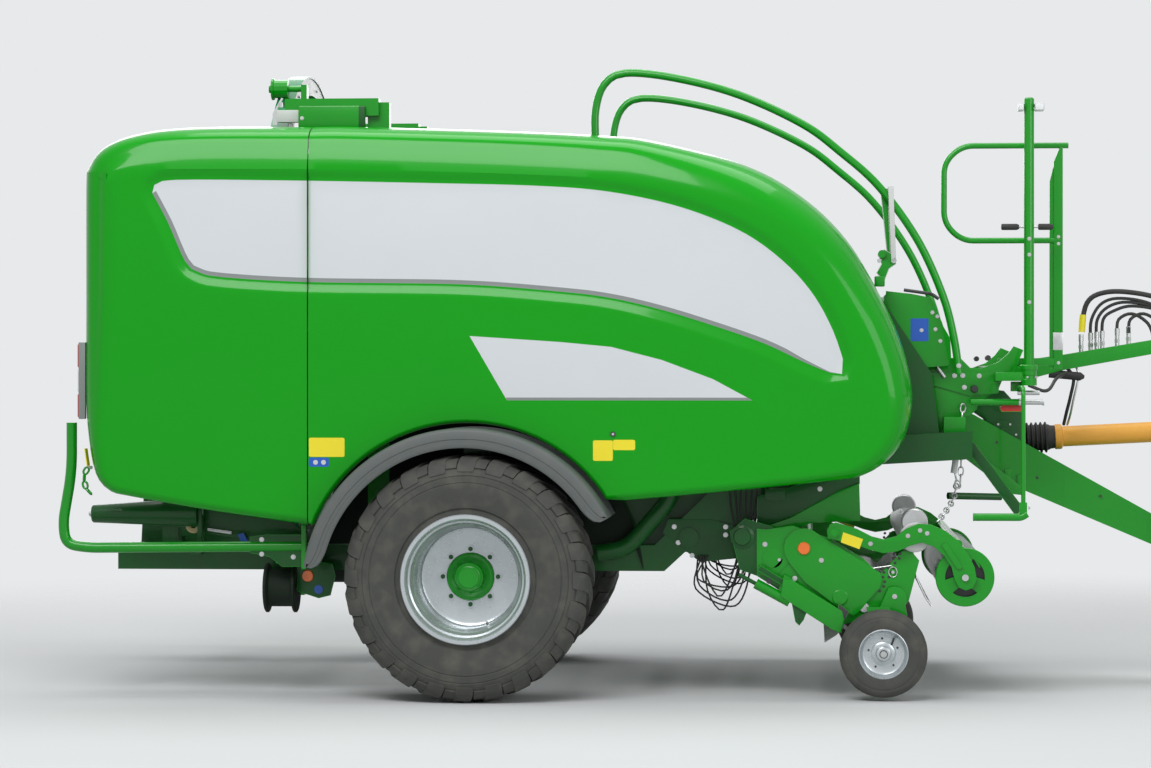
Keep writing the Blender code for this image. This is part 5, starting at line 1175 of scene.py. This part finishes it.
add_plate(bm, [(1.452, 0.600), (1.488, 0.577), (1.698, 0.800), (1.672, 0.828)], -1.045, 1.045,
          bevel=0.002)
piece(bm, "pickup_body", [GREEN, STEEL, BLACK, ORANGE, CHASSIS], "pickup",
      ("pickup_frame",))

# tine drum: strips between the tines, and sprung tines on four bars
bm = bmesh.new()
REEL = Vector((1.955, 0.0, 0.455))
add_lathe(bm, [(0.0235, -1.0295), (0.050, -1.0295), (0.050, -1.0), (0.128, -1.0), (0.130, -0.995),
               (0.130, 0.995), (0.128, 1.0), (0.050, 1.0), (0.050, 1.0295), (0.0235, 1.0295)],
          REEL, (0, 1, 0), 40)
add_bar(bm, REEL - Vector((0, 1.052, 0)), REEL + Vector((0, 1.052, 0)), 0.0235, sides=20, mat=1)
for k in range(31):
    y = -0.96 + 0.064 * k
    add_lathe(bm, [(0.129, -0.022), (0.148, -0.020), (0.150, -0.012), (0.150, 0.012),
                   (0.148, 0.020), (0.129, 0.022)], REEL + Vector((0, y, 0)), (0, 1, 0), 28, mat=2,
              closed=False)
for k in range(4):
    turn = math.radians(45 + 90 * k)
    out = Vector((math.cos(turn), 0, math.sin(turn)))
    flat = Vector((-out.z, 0, out.x))
    for j in range(30):
        at = REEL + Vector((0, -0.928 + 0.064 * j, 0))
        add_tube(bm, [at + out * 0.125, at + out * 0.20 + flat * 0.004, at + out * 0.268 - flat * 0.010],
                 [0.0042, 0.0042, 0.0034], 6, 1)
piece(bm, "tine_reel", [BLACK, STEEL, WORN], "reel", ("pickup_reel",))

# wind guard: side arms, roller, crossbar and sprung fingers
bm = bmesh.new()
arm = [(1.775, 0.800), (1.768, 0.840), (1.785, 0.872), (1.815, 0.880), (1.92, 0.848), (1.99, 0.812),
       (2.05, 0.797), (2.11, 0.812), (2.16, 0.850), (2.22, 0.876), (2.29, 0.870), (2.36, 0.838),
       (2.42, 0.790), (2.47, 0.720), (2.500, 0.660), (2.510, 0.600), (2.490, 0.556), (2.455, 0.545),
       (2.420, 0.560), (2.400, 0.600), (2.385, 0.660), (2.350, 0.715), (2.300, 0.760),
       (2.24, 0.782), (2.18, 0.765), (2.12, 0.738), (2.05, 0.728), (1.98, 0.745), (1.90, 0.775)]
for side, word in SIDES:
    add_plate(bm, arm, *span(side, 1.0715, 1.0925), bevel=0.003)
    add_plate(bm, [(2.335, 0.770), (2.360, 0.784), (2.440, 0.660), (2.415, 0.648)],
              *span(side, 1.0925, 1.104), bevel=0.002)
    add_plate(bm, [(1.850, 0.832), (1.948, 0.798), (1.930, 0.748), (1.838, 0.782)],
              *span(side, 1.0925, 1.0934), mat=2)
    for x, z in ((2.170, 0.815), (2.230, 0.842), (2.265, 0.828), (1.985, 0.775)):
        add_bolt(bm, (x, side * 1.0925, z), (0, side, 0), 0.009, mat=1)
    add_bar(bm, (1.804, side * 1.0925, 0.831), (1.804, side * 1.100, 0.831), 0.030, sides=28)
    add_bar(bm, (2.453, side * 1.0925, 0.609), (2.453, side * 1.108, 0.609), 0.017, 0.015, 6, 1)
    add_lathe(bm, [(0.001, 0.87), (0.060, 0.87), (0.066, 0.876), (0.066, 0.925), (0.058, 0.931),
                   (0.058, 0.955), (0.066, 0.961), (0.066, 1.01), (0.060, 1.016), (0.001, 1.016)],
              (2.206, 0, 0.880), (0, side, 0), 36, mat=1)
add_lathe(bm, [(0.001, -1.060), (0.066, -1.060), (0.074, -1.054), (0.074, 1.054), (0.066, 1.060),
               (0.001, 1.060)], (2.206, 0, 0.805), (0, 1, 0), 48, mat=3)
add_bar(bm, (2.42, -1.075, 0.775), (2.42, 1.075, 0.775), 0.020, sides=20)
add_plate(bm, [(2.405, 0.790), (2.50, 0.715), (2.53, 0.66), (2.524, 0.656), (2.49, 0.708),
               (2.395, 0.784)], -1.06, 1.06, mat=0)
for k in range(34):
    y = -1.02 + 2.04 * k / 33
    add_tube(bm, [(2.195, y, 0.745), (2.215, y, 0.60), (2.262, y, 0.500), (2.288, y, 0.462)], 0.0042,
             6, 1)
piece(bm, "guard_set", [GREEN, STEEL, LABEL, WHITE], "guard", ("windguard",))

# crop press roller: open end discs with three spokes on a steel drum
bm = bmesh.new()
hub = Vector((2.453, 0.0, 0.609))
add_lathe(bm, [(0.128, -1.03), (0.132, -1.03), (0.132, 1.03), (0.128, 1.03)], hub, (0, 1, 0), 56,
          mat=1)
for side, word in SIDES:
    add_lathe(bm, [(0.098, 1.046), (0.140, 1.046), (0.146, 1.050), (0.146, 1.058), (0.142, 1.062),
                   (0.098, 1.062)], hub, (0, side, 0), 64)
    add_lathe(bm, [(0.018, 1.040), (0.044, 1.040), (0.044, 1.0705), (0.040, 1.0705),
                   (0.018, 1.0705)], hub, (0, side, 0), 36)
    # a black disc behind the spokes: painted shade seen through the openings
    add_lathe(bm, [(0.018, 1.020), (0.130, 1.020), (0.130, 1.024), (0.018, 1.024)], hub,
              (0, side, 0), 48, mat=2)
    for turn in (-30, 90, 210):
        a = math.radians(turn)
        out, flat = Vector((math.cos(a), 0, math.sin(a))), Vector((-math.sin(a), 0, math.cos(a)))
        outline = [hub + out * 0.035 + flat * 0.026, hub + out * 0.105 + flat * 0.040,
                   hub + out * 0.105 - flat * 0.040, hub + out * 0.035 - flat * 0.026]
        add_plate(bm, [(p.x, p.z) for p in outline], *span(side, 1.047, 1.061), bevel=0.002)
    add_bar(bm, hub + Vector((0, side * 1.04, 0)), hub + Vector((0, side * 1.1095, 0)), 0.0175,
            0.0165, 24, 3)
piece(bm, "press_drum", [GREEN, CHASSIS, BLACK, STEEL], "roller_press",
      ("crop_roller",))

for side, word in SIDES:
    centre = (2.048, side * 1.15, 0.235)
    bm = bmesh.new()
    add_lathe(bm, [(0.1225, -0.046), (0.128, -0.050), (0.165, -0.0548), (0.190, -0.052),
                   (0.203, -0.046), (0.212, -0.036), (0.2155, -0.026), (0.2175, -0.020),
                   (0.2175, -0.010), (0.214, -0.008), (0.214, -0.003), (0.218, 0.0), (0.214, 0.003),
                   (0.214, 0.008), (0.2175, 0.010), (0.2175, 0.020), (0.2155, 0.026),
                   (0.212, 0.036), (0.203, 0.046), (0.190, 0.052), (0.184, 0.0533), (0.180, 0.052),
                   (0.176, 0.0543), (0.165, 0.0548), (0.128, 0.050), (0.1225, 0.046)],
              centre, (0, side, 0), 72)
    piece(bm, "gauge_rubber_" + word, RUBBER, "gauge_wheel_" + word,
          ("gauge_tyre_" + word,), 40)
    bm = bmesh.new()
    add_lathe(bm, [(0.0205, -0.030), (0.035, -0.030), (0.036, -0.008), (0.095, -0.006),
                   (0.112, -0.040), (0.1217, -0.046), (0.1220, -0.030), (0.117, -0.020),
                   (0.117, 0.020), (0.1220, 0.030), (0.1235, 0.046), (0.119, 0.0475),
                   (0.1155, 0.043), (0.1135, 0.030), (0.105, 0.018), (0.103, 0.006), (0.090, 0.000),
                   (0.062, 0.002), (0.055, 0.008), (0.040, 0.010), (0.035, 0.020), (0.034, 0.043),
                   (0.031, 0.045), (0.0205, 0.045)], centre, (0, side, 0), 64)
    hub = Vector(centre)
    for k in range(5):
        turn = 2 * math.pi * k / 5 + 0.4
        add_bar(bm, hub + Vector((0.075 * math.cos(turn), side * 0.0, 0.075 * math.sin(turn))),
                hub + Vector((0.075 * math.cos(turn), side * 0.0035, 0.075 * math.sin(turn))),
                0.0055, sides=12, mat=1)
    add_tube(bm, [hub + Vector((0.040, side * 0.004, 0.045)), hub + Vector((0.050, side * 0.026, 0.075))],
             0.005, 10, 1)
    piece(bm, "gauge_dish_" + word, [RIM, BLACK], "gauge_wheel_" + word,
          ("gauge_rim_" + word,), 35)

# drive side between chassis and pickup: housing, chain guard, hoses; brackets under the body
bm = bmesh.new()
for side, word in SIDES:
    add_plate(bm, [(0.94, 0.813), (0.97, 0.884), (1.185, 0.885), (1.40, 0.826), (1.357, 0.690),
                   (1.13, 0.667)], *span(side, 0.8405, 0.852), mat=0, bevel=0.003)
    add_tube(bm, bent([(0.616, side * 0.90, 0.713), (0.760, side * 0.90, 0.735),
                       (0.965, side * 0.90, 0.967), (1.00, side * 0.90, 1.06)], 0.10), 0.042, 20, 0)
    for x, z in ((1.00, 0.845), (1.26, 0.845), (1.26, 0.805), (1.09, 0.70), (1.02, 0.765)):
        add_bolt(bm, (x, side * 0.852, z), (0, side, 0), 0.010, mat=1)
    add_lathe(bm, [(0.001, 0.852), (0.050, 0.852), (0.050, 0.866), (0.020, 0.870), (0.001, 0.870)],
              (1.075, 0, 0.79), (0, side, 0), 32)
    for k, (drop, wander) in enumerate(((0.02, 0.03), (0.0, -0.02), (0.05, 0.05), (-0.03, 0.01),
                                        (0.07, -0.01), (-0.05, 0.04))):
        add_tube(bm, catmull([(1.28 + 0.028 * k, side * 0.88, 1.03),
                              (1.30 + 0.020 * k, side * 0.895, 0.88),
                              (1.335 + wander, side * (0.90 + 0.008 * k), 0.68 - drop / 2),
                              (1.26 + wander, side * 0.90, 0.50 - drop),
                              (1.16 - wander, side * 0.885, 0.56 - drop / 2),
                              (1.12 + 0.01 * k, side * 0.865, 0.70)], 0.03), 0.0045, 8, 2)
    for k in range(2):
        add_tube(bm, catmull([(1.40 + 0.02 * k, side * 0.89, 0.90), (1.392, side * 0.93, 0.78 - 0.03 * k),
                              (1.375 - 0.02 * k, side * 0.94, 0.66), (1.34, side * 0.93, 0.60)], 0.03),
                 0.003, 6, 1)
    add_plate(bm, [(-1.54, 1.02), (-1.00, 0.92), (-0.89, 0.80), (-1.12, 0.77), (-1.30, 0.79),
                   (-1.52, 0.832), (-1.70, 0.874)], *span(side, 0.8505, 0.862), mat=0, bevel=0.002)
    add_lathe(bm, [(0.016, 0.874), (0.034, 0.874), (0.041, 0.880), (0.034, 0.888), (0.016, 0.888)],
              (-1.454, 0, 0.846), (0, side, 0), 28, mat=3)
    add_bar(bm, (-1.380, side * 0.885, 0.824), (-1.257, side * 0.885, 0.808), 0.008, sides=14, mat=1)
    add_plate(bm, [(-1.225, 0.800), (-1.195, 0.808), (-1.172, 0.766), (-1.205, 0.758)],
              *span(side, 0.876, 0.890), mat=4)
piece(bm, "under_body_fittings", [CHASSIS, STEEL, BLACK_RUBBER, CREAM, BLUE], "chassis")
bm = bmesh.new()
for side, word in SIDES:
    add_plate(bm, [(1.419, 0.835), (1.590, 0.895), (1.838, 1.033), (1.932, 1.069), (1.938, 0.88),
                   (1.70, 0.87), (1.47, 0.80)], *span(side, 0.90, 0.912), mat=0, bevel=0.002)
    add_plate(bm, [(1.60, 1.05), (1.935, 1.18), (1.935, 1.065), (1.838, 1.035), (1.59, 0.90),
                   (1.42, 0.84), (1.42, 1.00)], *span(side, 0.885, 0.897), mat=1, bevel=0.002)
    lo, hi = span(side, 0.845, 0.90)
    add_box(bm, (1.46, lo, 0.98), (1.56, hi, 1.04), 0.003, mat=1)
    add_bolt(bm, (1.735, side * 0.897, 1.040), (0, side, 0), 0.010, mat=2)
piece(bm, "throat_cheeks", [GREEN, CHASSIS, STEEL], "chassis")


# ------------------------------------------------------------------ bale wrapping gear
CHAMBER = (1.10, 1.72)
TABLE_PIVOT = (-1.75, 1.20)


def ribbed(bm, centre, half, radius, ribs, mat=0, sides=28):
    rows = [(0.001, -half)]
    rows.append((radius * 0.93, -half))
    rows += [(radius, -half + 0.01), (radius, half - 0.01), (radius * 0.93, half), (0.001, half)]
    add_lathe(bm, rows, centre, (0, 1, 0), sides, mat)


bm = bmesh.new()
section = [(1.140, -1.063), (1.150, -1.063), (1.152, -1.058), (1.228, -1.058), (1.230, -1.063),
           (1.240, -1.063), (1.240, -0.971), (1.230, -0.971), (1.228, -0.976), (1.152, -0.976),
           (1.150, -0.971), (1.140, -0.971)]
# the teal green inside and out carries the painted sky reflection
sheen = [2, 2, 2, 2, 2, 0, 2, 2, 2, 2, 2, 0]    # bright side faces, green inside and out
add_lathe(bm, section, (0, 0, RING_Z), (1, 0, 0), 160, mats=sheen)
for k in range(24):
    turn = 2 * math.pi * (k + 0.5) / 24
    out = Vector((0, math.sin(turn), math.cos(turn)))
    add_bolt(bm, Vector((-0.976, 0, RING_Z)) + out * 1.19, (1, 0, 0), 0.008, mat=1, washer=False)
piece(bm, "ring_band", [TEAL_SKY_REFLECTION, STEEL, WORN], "ring", ("wrapping_ring",))
for side, word in SIDES:
    y = side * 1.01
    bm = bmesh.new()
    add_lathe(bm, [(0.0305, -1.345), (0.040, -1.345), (0.042, -1.343), (0.043, -1.336),
                   (0.108, -1.336), (0.110, -1.334), (0.110, -0.699), (0.108, -0.697),
                   (0.043, -0.697), (0.042, -0.690), (0.040, -0.688), (0.0305, -0.688)],
              (0, y, RING_Z), (1, 0, 0), 64)
    piece(bm, "film_reel_" + word, FILM, "ring", ("film_roll_" + word,))

for word, low, half in (("lower", (-116, -94, -72, -18, 4, 26, 48), 0.71),
                        ("upper", (82, 104, 126, 148, 170, 192, 214), 0.675)):
    bm = bmesh.new()
    for turn in low:
        a = math.radians(turn)
        x, z = CHAMBER[0] + 0.66 * math.cos(a), CHAMBER[1] + 0.66 * math.sin(a)
        add_bar(bm, (x, -half, z), (x, half, z), 0.083, sides=36)
        for k in range(8):
            b = 2 * math.pi * k / 8
            bump = Vector((x + 0.0835 * math.cos(b), 0, z + 0.0835 * math.sin(b)))
            add_bar(bm, bump - Vector((0, half - 0.01, 0)), bump + Vector((0, half - 0.01, 0)),
                    0.0045, sides=8)
    if word == "lower":
        for side in (-1, 1):
            rim = arc(CHAMBER, 0.755, -122, 56, 50) + arc(CHAMBER, 0.56, 56, -122, 50)
            add_plate(bm, rim, *span(side, 0.695, 0.7247))
    else:
        for side in (-1, 1):
            rim = arc(CHAMBER, 0.755, 74, 222, 44) + arc(CHAMBER, 0.56, 222, 74, 44)
            add_plate(bm, rim, *span(side, 0.665, 0.688))
            lug = [(1.22, 2.30), (1.40, 2.355)] + arc((1.42, 2.42), 0.056, -80, 80, 12)
            lug += [(1.40, 2.476), (1.20, 2.47)]
            add_plate(bm, lug, *span(side, 0.6651, 0.6879))
    body = "chassis" if word == "lower" else "chamber_top"
    piece(bm, "press_rollers_" + word, [WORN, GREEN], body, ("chamber_" + word,))

height = RING_Z - math.sqrt((0.625 + 0.08) ** 2 - 0.45 ** 2)
for word, x in (("front", -1.017 + 0.45), ("rear", -1.017 - 0.45)):
    bm = bmesh.new()
    add_lathe(bm, [(0.001, -0.5145), (0.030, -0.5145), (0.030, -0.505), (0.076, -0.505),
                   (0.080, -0.501), (0.080, 0.501), (0.076, 0.505), (0.030, 0.505),
                   (0.030, 0.5145), (0.001, 0.5145)], (x, 0, height), (0, 1, 0), 48)
    piece(bm, "table_roll_skin_" + word, BLACK_RUBBER, "table_roll_" + word,
          ("table_roller_" + word,))


# dark sheets behind the wheels, painted shade in the wheel wells, and the small fittings on the rear edge
# of the panels
for side, word in SIDES:
    bm = bmesh.new()
    # this sheet is painted shade, standing in for the shadow behind the wheel
    add_plate(bm, arc(ARCH, 0.86, 175, 5, 48) + [(0.80, 0.752), (-0.80, 0.752)],
              *span(side, 0.8545, 0.8605))
    piece(bm, "wheel_well_shade_" + word, SHADOW, "chassis")
    bm = bmesh.new()
    y = side * 1.215
    add_plate(bm, [(-1.938, 1.245), (-1.934, 1.245), (-1.921, 1.157), (-1.925, 1.157)],
              y - 0.03, y + 0.03, mat=1)
    chain(bm, [(-1.925, y, 1.150), (-1.947, y, 1.10), (-1.930, y, 1.035), (-1.902, y, 1.012)],
          0.046, 0.006, 0)
    add_bar(bm, (-1.905, y - 0.02, 1.150), (-1.925, y + 0.01, 1.152), 0.009, sides=16, mat=2)
    piece(bm, "rear_edge_fittings_" + word, [GREEN, LABEL, STEEL], "chassis")


# ------------------------------------------------------------------ camera, light, floor
def target(name, location, size, energy, aim, spread=None):
    lamp = bpy.data.lights.new(name, "AREA")
    lamp.shape = "RECTANGLE"
    lamp.size, lamp.size_y = size
    lamp.energy = energy
    obj = bpy.data.objects.new(name, lamp)
    bpy.context.scene.collection.objects.link(obj)
    obj.location = location
    obj.rotation_euler = (Vector(aim) - Vector(location)).to_track_quat("-Z", "Y").to_euler()
    return obj


scene = bpy.context.scene
scene.view_settings.view_transform = "Standard"
world = bpy.data.worlds.new("studio")
world.use_nodes = True
scene.world = world
sky = world.node_tree.nodes["Background"]
sky.inputs["Color"].default_value = (0.86, 0.88, 0.90, 1)
sky.inputs["Strength"].default_value = 0.36
backdrop = world.node_tree.nodes.new("ShaderNodeBackground")
backdrop.inputs["Color"].default_value = (0.80, 0.815, 0.83, 1)
backdrop.inputs["Strength"].default_value = 1.0
rays = world.node_tree.nodes.new("ShaderNodeLightPath")
choice = world.node_tree.nodes.new("ShaderNodeMixShader")
seen = rays.outputs["Is Camera Ray"]
for kind in ("Is Glossy Ray", "Is Transmission Ray"):
    either = world.node_tree.nodes.new("ShaderNodeMath")
    either.operation = "MAXIMUM"
    world.node_tree.links.new(seen, either.inputs[0])
    world.node_tree.links.new(rays.outputs[kind], either.inputs[1])
    seen = either.outputs[0]
world.node_tree.links.new(seen, choice.inputs[0])
world.node_tree.links.new(sky.outputs[0], choice.inputs[1])
world.node_tree.links.new(backdrop.outputs[0], choice.inputs[2])
world.node_tree.links.new(choice.outputs[0], world.node_tree.nodes["World Output"].inputs["Surface"])
target("key_light", (-2.5, -8.0, 8.5), (7.0, 4.0), 640, (-0.5, 0, 1.2))
target("fill_light", (7.0, -7.0, 4.0), (5.0, 4.0), 190, (0.5, 0, 1.2))
target("top_light", (0.0, 0.5, 9.0), (8.0, 5.0), 380, (0, 0, 1.0))
target("back_light", (-3.0, 9.0, 5.0), (7.0, 4.0), 260, (0, 0, 1.4))

bm = bmesh.new()
bmesh.ops.create_grid(bm, x_segments=1, y_segments=1, size=60.0)
floor_mesh = bpy.data.meshes.new("floor")
bm.to_mesh(floor_mesh)
bm.free()
floor = bpy.data.objects.new("floor", floor_mesh)
scene.collection.objects.link(floor)
floor_look = material("floor_pale", (0.66, 0.67, 0.68), 0.9, spec=0.1, noise=0.02, scale=0.5)
floor_mesh.materials.append(floor_look)
tree = floor_look.node_tree
place = tree.nodes.new("ShaderNodeTexCoord")
reach = tree.nodes.new("ShaderNodeVectorMath")
reach.operation = "LENGTH"
fade = tree.nodes.new("ShaderNodeMapRange")
fade.interpolation_type = "SMOOTHSTEP"
fade.inputs["From Min"].default_value = 3.6
fade.inputs["From Max"].default_value = 10.0
clear = tree.nodes.new("ShaderNodeBsdfTransparent")
blend = tree.nodes.new("ShaderNodeMixShader")
tree.links.new(place.outputs["Object"], reach.inputs[0])
tree.links.new(reach.outputs["Value"], fade.inputs["Value"])
tree.links.new(fade.outputs["Result"], blend.inputs[0])
tree.links.new(tree.nodes["Principled BSDF"].outputs[0], blend.inputs[1])
tree.links.new(clear.outputs[0], blend.inputs[2])
tree.links.new(blend.outputs[0], tree.nodes["Material Output"].inputs["Surface"])

camera_data = bpy.data.cameras.new("camera")
camera = bpy.data.objects.new("camera", camera_data)
scene.collection.objects.link(camera)
camera_data.lens = 102.78
camera_data.sensor_width = 36.0
camera.location = (1.695 + AXLE_X, -17.47, 1.628)
camera.rotation_euler = (math.radians(90 - 0.209), 0.0, math.radians(4.116))
scene.camera = camera
